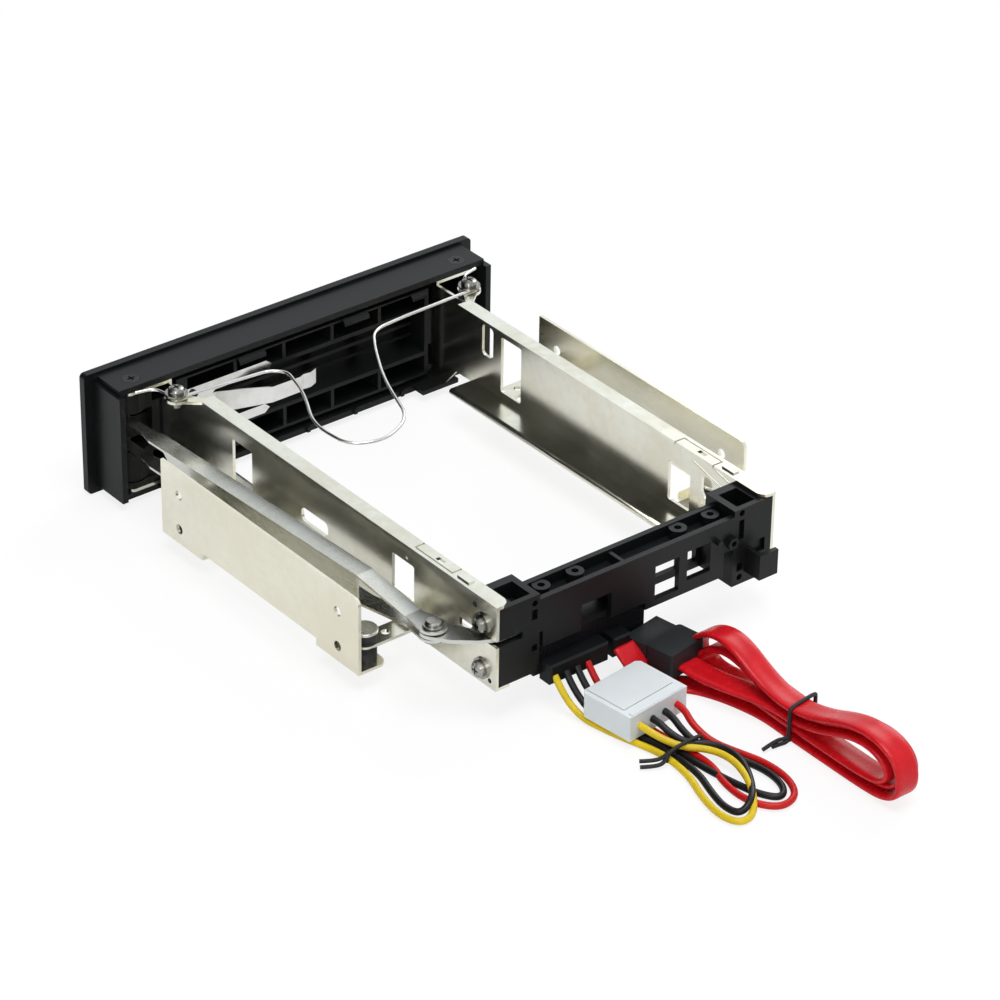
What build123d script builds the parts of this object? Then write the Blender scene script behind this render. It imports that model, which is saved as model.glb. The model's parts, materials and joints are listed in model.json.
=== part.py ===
from build123d import *
from math import cos, hypot, pi, radians, sin, tan
import os

os.makedirs("parts", exist_ok=True)

# Hot swap drive cage for a half height 5.25 inch bay. Millimetres, +X to the user's right, +Y to
# the rear, +Z up. The origin is the middle of the cage at the height of the bezel's lower edge.

# Drive and bay standards
drive_width = 101.6
drive_height = 26.1
drive_length = 147.0
bay_hole_pitch_y = 79.25
bay_hole_pitch_z = 11.84
bay_hole_front = 47.37
bay_hole_low = 10.7
bay_hole_r = 1.6

# Bezel, one black moulding: a flange that covers the bay's mouth and a shallow ring behind it
flange_over_ring = 3.1
flange_over_rail = 2.8
flange_thickness = 3.3
flange_corner = 1.5
ring_side_gap = 1.8
ring_bottom = 2.0
ring_top_step = 1.0
ring_wall = 2.0
ring_depth = 12.5
ring_side_depth = 14.5
ring_step_width = 1.4
ring_step_drop = 1.8
mouth_margin = 2.2

# Steel sheet rails
sheet = 1.0
drive_side_gap = 0.05
drive_top_gap = 0.1
drive_floor = 12.0
rail_nose = 9.6
rail_neck_end = 17.0
rail_flange_start = 28.6
rail_end = 173.0
rail_flange_width = 5.0
rail_flange_corner = 3.2
rail_tab_gap = 2.15
rail_tab_front = 4.6
rail_tab_end = 12.6
rail_neck_drop = 1.6
rail_ledge_start = 31.7
rail_ledge_width = 9.4

# Side plates that screw to the bay, and the rubber mounts that carry the rails in them
side_channel = 21.15
plate_start = 38.3
plate_end = 136.7
plate_bottom = 5.6
plate_top = 31.0
plate_relief = 2.4
foot_front_end = 59.2
foot_rear_start = 116.2
foot_reach = 9.5
foot_corner = 3.0
mount_post_inboard = 6.6
mount_post_inset = 6.1
mount_post_r = 3.7
mount_cap_r = 4.1
mount_cap_thickness = 0.9
mount_upper_height = 3.6
lug_width = 7.0
lug_hole_r = 1.35
lug_hole_step = 7.6
stud_r = 1.5

# Door, its pin and the crank that drives the link
door_proud = 1.0
pad_proud = 0.8
hinge_off_rail = 9.15
hinge_depth = 2.6
hinge_pin_r = 1.25
hinge_bore_gap = 0.06
hinge_seat_gap = 0.03
hinge_pin_seat = 1.4
door_end_gap = 1.8
door_gap = 1.3
door_lip_gap = 0.5
door_skin = 2.2
door_back = 8.4
door_box_back = 11.5
door_box_gap = 2.45
door_wall = 1.5
cavity_inset = 12.2
vent_height = 1.4
latch_travel = 2.4
latch_gap = 0.3
latch_low = 17.5
latch_high = 24.5
latch_inset = 2.0
latch_length = 13.0
latch_shy = 0.35
spring_sheet = 0.6
spring_reach = 18.8
spring_inset = 2.0
spring_low = 14.4
spring_high = 32.8
stake_inset = 3.8
stake_r = 1.1
crank_radius = 5.0
crank_angle = -45.0
crank_pin_r = 0.9
crank_pin_gap = 0.05
prong_half_width = 1.9
prong_gap = 0.4
rib_pitch = 18.5
rib_thickness = 1.2

# Link channel and ejector lever
link_height = 9.8
link_sheet = 0.8
link_mid_front = 22.3
link_half_width = 2.95
link_web_start = 30.0
link_web_short = 31.0
link_flat_back = 9.0
link_end_r = 4.2
fork_length = 24.0
lever_thickness = 1.2
lever_mid = 26.7
lever_face_gap = 0.3
lever_pin_off_rail = 9.35
lever_pin_ahead = 10.2
fulcrum_inside = 6.85
fulcrum_ahead = 6.8
fulcrum_r = 1.25
lever_hub_r = 5.2
lever_finger = 15.4
lever_tip_ahead = 3.8
lever_tip_r = 1.8
lever_end_r = 4.2
rivet_r = 1.2
rivet_neck_r = 0.8
rivet_head_r = 2.4
rivet_washer_r = 3.1
rivet_slack_x = 1.35
rivet_slack_y = 0.4

# Rear bracket
bracket_depth = 10.4
bracket_wall = 1.8
bracket_top_drop = 3.1
trough_depth = 3.5
bracket_floor_thickness = 1.5
bracket_bottom = 17.1
bracket_low_bottom = 9.0
bracket_drop_left = 32.7
end_block_length = 14.6
end_block_front = 2.6
pocket_inside = 12.35
pocket_width = 6.9
boss_r = 2.7
boss_hole_r = 1.1
boss_xs = (30.9, 18.5, -19.9, -32.2)
hook_reach = 6.5
hook_thickness = 1.5
hook_inset = 2.65
hook_width = 7.1
screw_depth_in = 6.5
bracket_screw_low = 15.9
bracket_screw_drop = 8.2

# Connectors and cables
socket_centre = 16.0
socket_width = 38.0
socket_bottom = 12.6
socket_height = 7.0
socket_length = 13.7
socket_recess = 2.1
contact_pitch = 1.27
boot_reach = 3.0
boot_low = 7.5
boot_high = 14.0
power_wire_d = 2.1
data_lead_d = 3.0

# Fasteners
m3_r = 1.45
m3_clear_r = 1.6
thread_bite = 0.1
pan_head_r = 2.6
pan_head_height = 1.9
washer_r = 3.3
washer_thickness = 0.6
wire_d = 1.0
wire_screw_r = 1.25
wire_washer_r = 3.5
wire_bite = 0.1
wire_ring_gap = 0.9
ear_off_rail = 4.15
ear_depth = 22.6
ear_r = 3.7
lever_slot_length = 16.8

# Derived places
face = (flange_thickness + door_proud + pad_proud - rail_end - hook_reach) / 2
rail_inner = drive_width / 2 + drive_side_gap
rail_outer = rail_inner + sheet
rail_top = drive_floor + drive_height + drive_top_gap + sheet
rail_bottom = drive_floor - sheet
rail_neck_top = rail_top - rail_neck_drop
plate_outer = rail_outer + side_channel
mount_post_x = plate_outer - mount_post_inboard
lug_hole_x = mount_post_x - lug_hole_step
ring_width = 2 * (plate_outer - ring_side_gap)
flange_width = ring_width + 2 * flange_over_ring
flange_height = rail_top + flange_over_rail
ring_top = flange_height - ring_top_step
flange_front = face - flange_thickness
door_front = flange_front - door_proud
ring_inner_top = ring_top - ring_wall
ring_inner_bottom = ring_bottom + ring_wall
ring_inner_half = ring_width / 2 - ring_wall
mouth_half = ring_inner_half - mouth_margin / 4
rail_tab_reach = ring_inner_half - rail_tab_gap - rail_outer
ear_x = rail_outer + ear_off_rail
mount_depths = [plate_start + mount_post_inset, plate_end - mount_post_inset]
bracket_front = face + rail_end - bracket_depth
bracket_rear = face + rail_end
door_bottom = ring_inner_bottom + door_gap
door_top = ring_inner_top - door_gap
door_left = ring_inner_half - door_end_gap
door_box_half = rail_inner - door_box_gap
cavity_end = door_box_half - cavity_inset
spring_edge = door_box_half - spring_inset
stakes = [(spring_edge - stake_inset, spring_low + 2.2), (spring_edge - stake_inset, spring_high - 2.0)]
latch_left = door_left - latch_inset
latch_right = latch_left - latch_length
hinge_x = rail_outer + hinge_off_rail
barrel_r = hinge_depth + flange_thickness + door_proud
crank_x = hinge_x + crank_radius * cos(radians(crank_angle))
crank_depth = hinge_depth + crank_radius * sin(radians(crank_angle))
ear_low = link_mid_front - link_height / 2 + link_sheet + 0.5
ear_high = link_mid_front + link_height / 2 - link_sheet - 0.5
screw_x = ring_inner_half - 6.8
screw_depth = 7.8
bracket_front_depth = rail_end - bracket_depth
bracket_top = rail_top - bracket_top_drop
bracket_floor = bracket_top - trough_depth
bracket_screw_heights = (bracket_screw_low, rail_top - bracket_screw_drop)
pocket_x = (rail_inner - pocket_inside, rail_inner - pocket_inside + pocket_width)
fulcrum_x = rail_inner - fulcrum_inside
fulcrum_depth = rail_end - fulcrum_ahead
lever_pin_x = rail_outer + lever_pin_off_rail
lever_pin_depth = fulcrum_depth - lever_pin_ahead
lever_tip_x = fulcrum_x - lever_finger
lever_tip_depth = fulcrum_depth - lever_tip_ahead
lever_slot_start = rail_end - lever_slot_length
link_web_end = lever_pin_depth - link_web_short
socket_back = rail_end - socket_recess
socket_front = socket_back - socket_length
boot_back = rail_end + boot_reach
boss_depth = bracket_front_depth + bracket_wall + boss_r - 0.4
socket_low_x = socket_centre - socket_width / 2
socket_high_x = socket_centre + socket_width / 2
slot_floor = socket_bottom + 2.6
slot_reach = 5.2
slot_spans = ((-1.0, 9.9), (12.3, 33.2))


def block(low, high, mode=Mode.ADD):
    """A square block between two corners, added to or cut from the part being built."""
    middle = tuple((a + b) / 2 for a, b in zip(low, high))
    with Locations(middle):
        Box(*[b - a for a, b in zip(low, high)], mode=mode)


def upright(radius, x, y, low, high, mode=Mode.ADD):
    """A vertical cylinder between two heights."""
    with Locations((x, y, (low + high) / 2)):
        Cylinder(radius, high - low, mode=mode)


def across(side, start, end):
    """The lower and upper X of a band between two distances from the middle."""
    return (start, end) if side > 0 else (-end, -start)


# Bezel frame
with BuildPart() as bezel_frame:
    with BuildSketch(Plane.XZ.offset(-face)):
        with Locations((0, flange_height / 2)):
            RectangleRounded(flange_width, flange_height, flange_corner)
        with Locations((0, (ring_inner_top + ring_inner_bottom) / 2)):
            Rectangle(2 * mouth_half, ring_inner_top - ring_inner_bottom, mode=Mode.SUBTRACT)
    extrude(amount=flange_thickness)
    chamfer(bezel_frame.faces().sort_by(Axis.Y)[0].outer_wire().edges(), 0.8)
    with BuildSketch(Plane.XZ.offset(-face)):
        with Locations((0, (ring_top + ring_bottom) / 2)):
            RectangleRounded(ring_width, ring_top - ring_bottom, 1.0)
        with Locations((0, (ring_inner_top + ring_inner_bottom) / 2)):
            Rectangle(2 * ring_inner_half, ring_inner_top - ring_inner_bottom, mode=Mode.SUBTRACT)
    extrude(amount=-ring_depth)
    # The side walls run a little further back than the top and bottom walls
    for side in (-1, 1):
        outer = side * ring_width / 2
        inner = side * ring_inner_half
        block((min(outer, inner), face + ring_depth - 1, ring_bottom + 0.6),
              (max(outer, inner), face + ring_side_depth, ring_top - ring_step_drop))
        # A step along each top corner leaves the top wall as a raised pad
        edge = side * (ring_width / 2 - ring_step_width)
        block((min(outer, edge), face + 1.0, ring_top - ring_step_drop),
              (max(outer, edge), face + ring_side_depth, ring_top), mode=Mode.SUBTRACT)
        # Seat for the countersunk screw that holds the rail's top tab
        with Locations((side * screw_x, face + screw_depth, ring_top)):
            CounterSinkHole(m3_clear_r, 2.9, depth=ring_wall, counter_sink_angle=90)
    # Blind seats for the hinge pin in the two long walls
    upright(hinge_pin_r + hinge_seat_gap, hinge_x, face + hinge_depth,
            ring_inner_top - 0.1, ring_inner_top + hinge_pin_seat, mode=Mode.SUBTRACT)
    upright(hinge_pin_r + hinge_seat_gap, hinge_x, face + hinge_depth,
            ring_inner_bottom - hinge_pin_seat, ring_inner_bottom + 0.1, mode=Mode.SUBTRACT)
    # Keeper pocket for the latch bolt
    block((-ring_inner_half - 1.2, face - 1.0, latch_low - 0.2),
          (-ring_inner_half + 0.1, face + 3.2, latch_high + 0.2), mode=Mode.SUBTRACT)
    # Small lightening ribs on the inside of the lower wall
    for index in range(-2, 3):
        block((index * rib_pitch - rib_thickness / 2, face + ring_depth - 0.9, ring_bottom + 0.2),
              (index * rib_pitch + rib_thickness / 2, face + ring_depth + 0.8, ring_inner_bottom))
    # Tongues of the lower wall that run back under the rails' noses
    for side in (-1, 1):
        low_x, high_x = across(side, rail_inner - 8.6, rail_outer + 4.6)
        block((low_x, face + ring_depth - 1, ring_bottom + 0.4),
              (high_x, face + rail_neck_end, ring_inner_bottom - 0.1))
bezel_frame.part.label = "bezel_frame"
export_step(bezel_frame.part, "parts/bezel_frame.step")

# Screws that hold the rails' top tabs under the bezel's upper wall
with BuildPart() as bezel_screws:
    for side in (-1, 1):
        with BuildSketch(Plane.XZ.offset(-(face + screw_depth))):
            with BuildLine():
                Polyline((side * screw_x, ring_top), (side * (screw_x + 2.8), ring_top),
                         (side * (screw_x + m3_r), ring_top - 2.8 + m3_r),
                         (side * (screw_x + m3_r), ring_inner_top - sheet),
                         (side * screw_x, ring_inner_top - sheet), close=True)
            make_face()
        revolve(axis=Axis((side * screw_x, face + screw_depth, 0), (0, 0, 1)))
        for turn in (0, 90):
            with Locations(Location((side * screw_x, face + screw_depth, ring_top), (0, 0, turn))):
                Box(2.6, 0.6, 1.4, mode=Mode.SUBTRACT)
bezel_screws.part.label = "bezel_screws"
export_step(bezel_screws.part, "parts/bezel_screws.step")


def rail_wall(side):
    """The rail's upright wall, seen from the side, as a sketch pushed across the sheet."""
    plane = Plane.YZ.offset(rail_inner if side > 0 else -rail_outer)
    with BuildSketch(plane) as outline:
        with BuildLine():
            Polyline((face + rail_nose, ring_inner_bottom), (face + rail_neck_end, ring_inner_bottom),
                     (face + rail_neck_end + 6, rail_bottom), (face + rail_end, rail_bottom),
                     (face + rail_end, rail_top), (face + rail_flange_start, rail_top),
                     (face + rail_flange_start - 3, rail_neck_top), (face + rail_tab_end, rail_neck_top),
                     (face + rail_tab_end, ring_inner_top), (face + rail_nose, ring_inner_top), close=True)
        make_face()
    extrude(outline.sketch, amount=sheet)


def rail_window(side, start, end, low, high, corner=0.8):
    """A window through the rail's wall between two depths and two heights."""
    plane = Plane.YZ.offset(side * rail_inner - sheet * 1.5)
    with BuildSketch(plane) as window:
        with Locations((face + (start + end) / 2, (low + high) / 2)):
            RectangleRounded(end - start, high - low, corner)
    extrude(window.sketch, amount=sheet * 3, mode=Mode.SUBTRACT)


def make_rail(side):
    with BuildPart() as rail:
        rail_wall(side)
        # Top flange, which turns in over the drive
        low_x, high_x = across(side, rail_outer - rail_flange_width, rail_outer)
        with BuildSketch(Plane.XY.offset(rail_top - sheet)) as flange:
            with Locations(((low_x + high_x) / 2, face + (rail_flange_start + rail_end) / 2)):
                Rectangle(rail_flange_width, rail_end - rail_flange_start)
            inner = flange.vertices().group_by(Axis.X)[0 if side > 0 else -1]
            fillet(inner.sort_by(Axis.Y)[-1:], rail_flange_corner)
        extrude(amount=sheet)
        # Ear that carries the wire spring's screw, joined to the flange by a short neck
        with BuildSketch(Plane.XY.offset(rail_top - sheet)):
            with Locations((side * ear_x, face + ear_depth)):
                Circle(ear_r)
            with BuildLine():
                Polyline((side * (rail_outer - 2.4), face + rail_flange_start + 1),
                         (side * (ear_x - 2.0), face + ear_depth - 1),
                         (side * (ear_x + 1.6), face + ear_depth + 2.4),
                         (side * rail_outer, face + rail_flange_start + 1.4), close=True)
            make_face()
        extrude(amount=sheet)
        upright(wire_screw_r - thread_bite, side * ear_x, face + ear_depth, rail_top - 2 * sheet,
                rail_top + 1, mode=Mode.SUBTRACT)
        # Ledge under the drive, in two steps
        low_x, high_x = across(side, rail_outer - rail_ledge_width, rail_outer)
        block((low_x, face + rail_ledge_start, rail_bottom), (high_x, bracket_front - 3.2, drive_floor))
        low_x, high_x = across(side, rail_outer - rail_flange_width, rail_outer)
        block((low_x, bracket_front - 4, rail_bottom), (high_x, face + rail_end, drive_floor))
        low_x, high_x = across(side, rail_outer - rail_ledge_width, rail_outer - rail_ledge_width + sheet)
        block((low_x, face + rail_ledge_start, rail_bottom - 1.6),
              (high_x, bracket_front - 3.2, rail_bottom))
        # Tabs that turn out inside the bezel, under its top wall and on its bottom wall
        low_x, high_x = across(side, rail_inner, rail_outer + rail_tab_reach)
        for low in (ring_inner_top - sheet, ring_inner_bottom):
            start = face + rail_tab_front
            with BuildSketch(Plane.XY.offset(low)) as tab:
                with Locations(((low_x + high_x) / 2, (start + face + rail_tab_end) / 2)):
                    Rectangle(high_x - low_x, face + rail_tab_end - start)
                outer = tab.vertices().group_by(Axis.X)[-1 if side > 0 else 0]
                fillet(outer, 2.0)
            extrude(amount=sheet)
        upright(m3_r - thread_bite, side * screw_x, face + screw_depth, ring_inner_top - 2 * sheet,
                ring_inner_top + 1, mode=Mode.SUBTRACT)
        # Lugs that turn out over the side plate's feet, one to each rubber mount
        for depth in mount_depths:
            low_x, high_x = across(side, rail_inner, mount_post_x)
            block((low_x, face + depth - lug_width / 2, rail_bottom),
                  (high_x, face + depth + lug_width / 2, drive_floor))
            upright(lug_width / 2, side * mount_post_x, face + depth, rail_bottom, drive_floor)
            upright(stud_r + 0.15, side * mount_post_x, face + depth, rail_bottom - 1, drive_floor + 1,
                    mode=Mode.SUBTRACT)
            upright(lug_hole_r, side * lug_hole_x, face + depth, rail_bottom - 1, drive_floor + 1,
                    mode=Mode.SUBTRACT)
        # Windows that both rails share
        rail_window(side, 45.6, 55.6, 14.2, rail_top - 5.4)
        # Holes for the bracket's two screws
        with Locations(Plane.YZ.offset(side * rail_inner - 2)):
            with Locations(*[(face + rail_end - screw_depth_in, z) for z in bracket_screw_heights]):
                Cylinder(m3_clear_r, 8, mode=Mode.SUBTRACT)
        # Lanced tab and cut outline on the top flange
        low_x, high_x = across(side, rail_outer - 3.6, rail_outer - 1.4)
        block((low_x, face + rail_end - 19.8, rail_top), (high_x, face + rail_end - 14.6, rail_top + 0.5))
        low_x, high_x = across(side, rail_outer - rail_flange_width - 0.1, rail_outer - 1.2)
        for ahead in (39.6, 22.4):
            block((low_x, face + rail_end - ahead, rail_top - 2),
                  (high_x, face + rail_end - ahead + 0.6, rail_top + 1), mode=Mode.SUBTRACT)
        # A shallow coined line joins the two cuts
        low_x, high_x = across(side, rail_outer - 1.7, rail_outer - 1.2)
        block((low_x, face + rail_end - 39.6, rail_top - 0.35),
              (high_x, face + rail_end - 21.8, rail_top + 1), mode=Mode.SUBTRACT)
        low_x, high_x = across(side, rail_outer - 3.6, rail_outer - 2.2)
        block((low_x, face + rail_end - 31.0, rail_top - 2), (high_x, face + rail_end - 27.6, rail_top + 1),
              mode=Mode.SUBTRACT)
        if side > 0:
            rail_window(side, 80.4, 93.6, 22.6, 27.4, 1.8)
            rail_window(side, 124.6, 135.0, 14.6, rail_top - 5.6)
            # Slot that the ejector lever swings through, open at the rail's end
            low = lever_mid - lever_thickness / 2 - 0.5
            high = lever_mid + lever_thickness / 2 + 0.5
            block((rail_inner - 1, face + lever_slot_start, low),
                  (rail_outer + 1, face + rail_end + 1, high), mode=Mode.SUBTRACT)
            for ahead, height, radius in ((41.4, rail_top - 4.2, 0.6), (9.9, rail_top - 3.6, 1.0),
                                          (2.8, drive_floor + 1.4, 0.8)):
                with Locations(Location((side * rail_inner, face + rail_end - ahead, height), (0, 90, 0))):
                    Cylinder(radius, 6, mode=Mode.SUBTRACT)
        else:
            rail_window(side, 36.0, 41.6, 23.6, rail_top - 4.8, 1.4)
            rail_window(side, 126.6, 136.6, 14.6, 28.2)
            rail_window(side, 141.6, 146.6, 22.8, 30.2, 2.2)
            # Cut round a slanting leaf that earths the drive's side
            with BuildSketch(Plane.YZ.offset(-rail_outer - 1)) as leaf:
                with Locations(Location((face + 146.0, rail_top - 6.3), -13.0)):
                    with Locations((0, 1.9), (0, -1.9)):
                        Rectangle(18.0, 0.6)
                    with Locations((8.7, 0)):
                        Rectangle(0.6, 4.0)
            extrude(leaf.sketch, amount=sheet + 2, mode=Mode.SUBTRACT)
    return rail


# Right and left rails
rail_right = make_rail(1)
rail_right.part.label = "rail_right"
export_step(rail_right.part, "parts/rail_right.step")

rail_left = make_rail(-1)
rail_left.part.label = "rail_left"
export_step(rail_left.part, "parts/rail_left.step")


def make_mount_plate(side):
    """Side plate with four tapped bay holes and two feet turned in under the rail's lugs."""
    with BuildPart() as plate:
        with BuildSketch(Plane.YZ.offset(plate_outer - sheet if side > 0 else -plate_outer)) as wall:
            with BuildLine():
                Polyline((face + plate_start, plate_bottom), (face + foot_front_end, plate_bottom),
                         (face + foot_front_end, plate_bottom + plate_relief),
                         (face + foot_rear_start, plate_bottom + plate_relief),
                         (face + foot_rear_start, plate_bottom), (face + plate_end, plate_bottom),
                         (face + plate_end, plate_top), (face + plate_start, plate_top), close=True)
            make_face()
            fillet(wall.vertices().group_by(Axis.Y)[-1].sort_by(Axis.X)[-1:], 2.2)
            first = (face + bay_hole_front, bay_hole_low)
            for along in (0, bay_hole_pitch_y):
                for up in (0, bay_hole_pitch_z):
                    with Locations((first[0] + along, first[1] + up)):
                        Circle(bay_hole_r, mode=Mode.SUBTRACT)
        extrude(amount=sheet)
        for start, end in ((plate_start, foot_front_end), (foot_rear_start, plate_end)):
            low_x, high_x = across(side, plate_outer - sheet - foot_reach, plate_outer)
            with BuildSketch(Plane.XY.offset(plate_bottom)) as foot:
                with Locations(((low_x + high_x) / 2, face + (start + end) / 2)):
                    Rectangle(high_x - low_x, end - start)
                fillet(foot.vertices().group_by(Axis.X)[0 if side > 0 else -1], foot_corner)
            extrude(amount=sheet)
        for depth in mount_depths:
            upright(stud_r + 0.05, side * mount_post_x, face + depth, plate_bottom - 1,
                    plate_bottom + 2 * sheet, mode=Mode.SUBTRACT)
    return plate


mount_plate_right = make_mount_plate(1)
mount_plate_right.part.label = "mount_plate_right"
export_step(mount_plate_right.part, "parts/mount_plate_right.step")

mount_plate_left = make_mount_plate(-1)
mount_plate_left.part.label = "mount_plate_left"
export_step(mount_plate_left.part, "parts/mount_plate_left.step")

# Rubber mounts: a bush above and a bush below each lug
foot_top = plate_bottom + sheet
mount_places = [(side * mount_post_x, face + depth) for side in (-1, 1) for depth in mount_depths]
with BuildPart() as rubber_mounts:
    for x, y in mount_places:
        for low, high in ((foot_top, rail_bottom), (drive_floor, drive_floor + mount_upper_height)):
            upright(mount_post_r, x, y, low, high)
            upright(stud_r + 0.1, x, y, low - 0.1, high + 0.1, mode=Mode.SUBTRACT)
rubber_mounts.part.label = "rubber_mounts"
export_step(rubber_mounts.part, "parts/rubber_mounts.step")

# Shoulder studs: a flat cap on the upper bush and a stem riveted in the foot
cap_low = drive_floor + mount_upper_height
with BuildPart() as mount_studs:
    for x, y in mount_places:
        upright(mount_cap_r, x, y, cap_low, cap_low + mount_cap_thickness)
        upright(stud_r, x, y, plate_bottom, cap_low + mount_cap_thickness)
    chamfer(mount_studs.faces().filter_by(Plane.XY).group_by(Axis.Z)[-1].edges(), 0.3)
mount_studs.part.label = "mount_studs"
export_step(mount_studs.part, "parts/mount_studs.step")


def pan_screw(radius, length, head_seat, washer_radius, washer_low):
    """A pan head screw standing on Z with its head's seat at a height, a washer and a cross recess."""
    with BuildPart() as screw:
        with BuildSketch(Plane.XZ):
            with BuildLine():
                top = head_seat + pan_head_height
                Polyline((0, head_seat - length), (radius, head_seat - length), (radius, head_seat),
                         (pan_head_r, head_seat), (pan_head_r, top - 1.0), (pan_head_r * 0.86, top - 0.4),
                         (pan_head_r * 0.55, top - 0.05), (0, top), close=True)
            make_face()
        revolve(axis=Axis.Z)
        for turn in (0, 90):
            with Locations(Location((0, 0, head_seat + pan_head_height), (0, 0, turn))):
                Box(2.6, 0.6, 1.8, mode=Mode.SUBTRACT)
        upright(washer_radius, 0, 0, washer_low, head_seat)
    return screw.part


# Bracket screws through the rails' rear ends, each with its washer
one_screw = pan_screw(m3_r, washer_thickness + 5.4, washer_thickness, washer_r, 0)
with BuildPart() as bracket_screws:
    for side in (-1, 1):
        for height in bracket_screw_heights:
            seat = Plane(origin=(side * rail_outer, face + rail_end - screw_depth_in, height),
                         x_dir=(0, 1, 0), z_dir=(side, 0, 0))
            with Locations(seat.location):
                add(one_screw)
bracket_screws.part.label = "bracket_screws"
export_step(bracket_screws.part, "parts/bracket_screws.step")


def corner_radii(points):
    """A bend radius for each inner corner, from the shorter run beside it."""
    radii = []
    for before, here, after in zip(points, points[1:], points[2:]):
        first = Vector(*here) - Vector(*before)
        second = Vector(*after) - Vector(*here)
        turn = radians(first.get_angle(second))
        radii.append(0.45 * min(first.length, second.length) / tan(turn / 2))
    print("bend radii", [round(r, 1) for r in radii])
    return radii


# Wire spring across the mouth of the bay, bent from one length and hooked round a screw at each end
wire_points = [(25.0, 27.3), (21.0, 31.5), (24.5, 44.5), (33.5, 62.0), (32.0, 77.5), (21.5, 81.6),
               (8.5, 75.5), (0.0, 52.0), (-9.5, 35.0), (-15.5, 26.4), (-27.0, 25.3)]
hook_r = wire_screw_r + wire_d / 2 + 0.15
wire_z = rail_top + wire_d / 2 - wire_bite / 2
hook_end = ring_depth + wire_ring_gap + wire_d / 2
hook_right = [(ear_x + 9.2, hook_end), (ear_x + 3.2, hook_end + 1.5),
              (ear_x + hook_r, ear_depth - 2.2), (ear_x + hook_r, ear_depth + hook_r),
              (ear_x - 2.6, ear_depth + hook_r)]
hook_left = [(-x, depth) for x, depth in reversed(hook_right)]
wire_route = [(x, face + depth, wire_z) for x, depth in hook_right + wire_points + hook_left]
with BuildPart() as retaining_wire:
    with BuildLine() as wire_path:
        FilletPolyline(*wire_route, radius=corner_radii(wire_route))
    with BuildSketch(Plane(origin=wire_path.line @ 0, z_dir=wire_path.line % 0)):
        Circle(wire_d / 2)
    sweep()
retaining_wire.part.label = "retaining_wire"
export_step(retaining_wire.part, "parts/retaining_wire.step")

# Screws and washers that clamp the wire spring on the rails' ears
clamp_low = rail_top + wire_d - wire_bite
one_clamp = pan_screw(wire_screw_r, wire_d + washer_thickness + 3.4, washer_thickness, wire_washer_r, 0)
with BuildPart() as wire_screws:
    with Locations((-ear_x, face + ear_depth, clamp_low), (ear_x, face + ear_depth, clamp_low)):
        add(one_clamp)
wire_screws.part.label = "wire_screws"
export_step(wire_screws.part, "parts/wire_screws.step")

# Pin the door swings on, held in blind seats in the bezel
with BuildPart() as hinge_pin:
    upright(hinge_pin_r, hinge_x, face + hinge_depth, ring_inner_bottom - hinge_pin_seat,
            ring_inner_top + hinge_pin_seat)
hinge_pin.part.label = "hinge_pin"
export_step(hinge_pin.part, "parts/hinge_pin.step")

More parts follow.
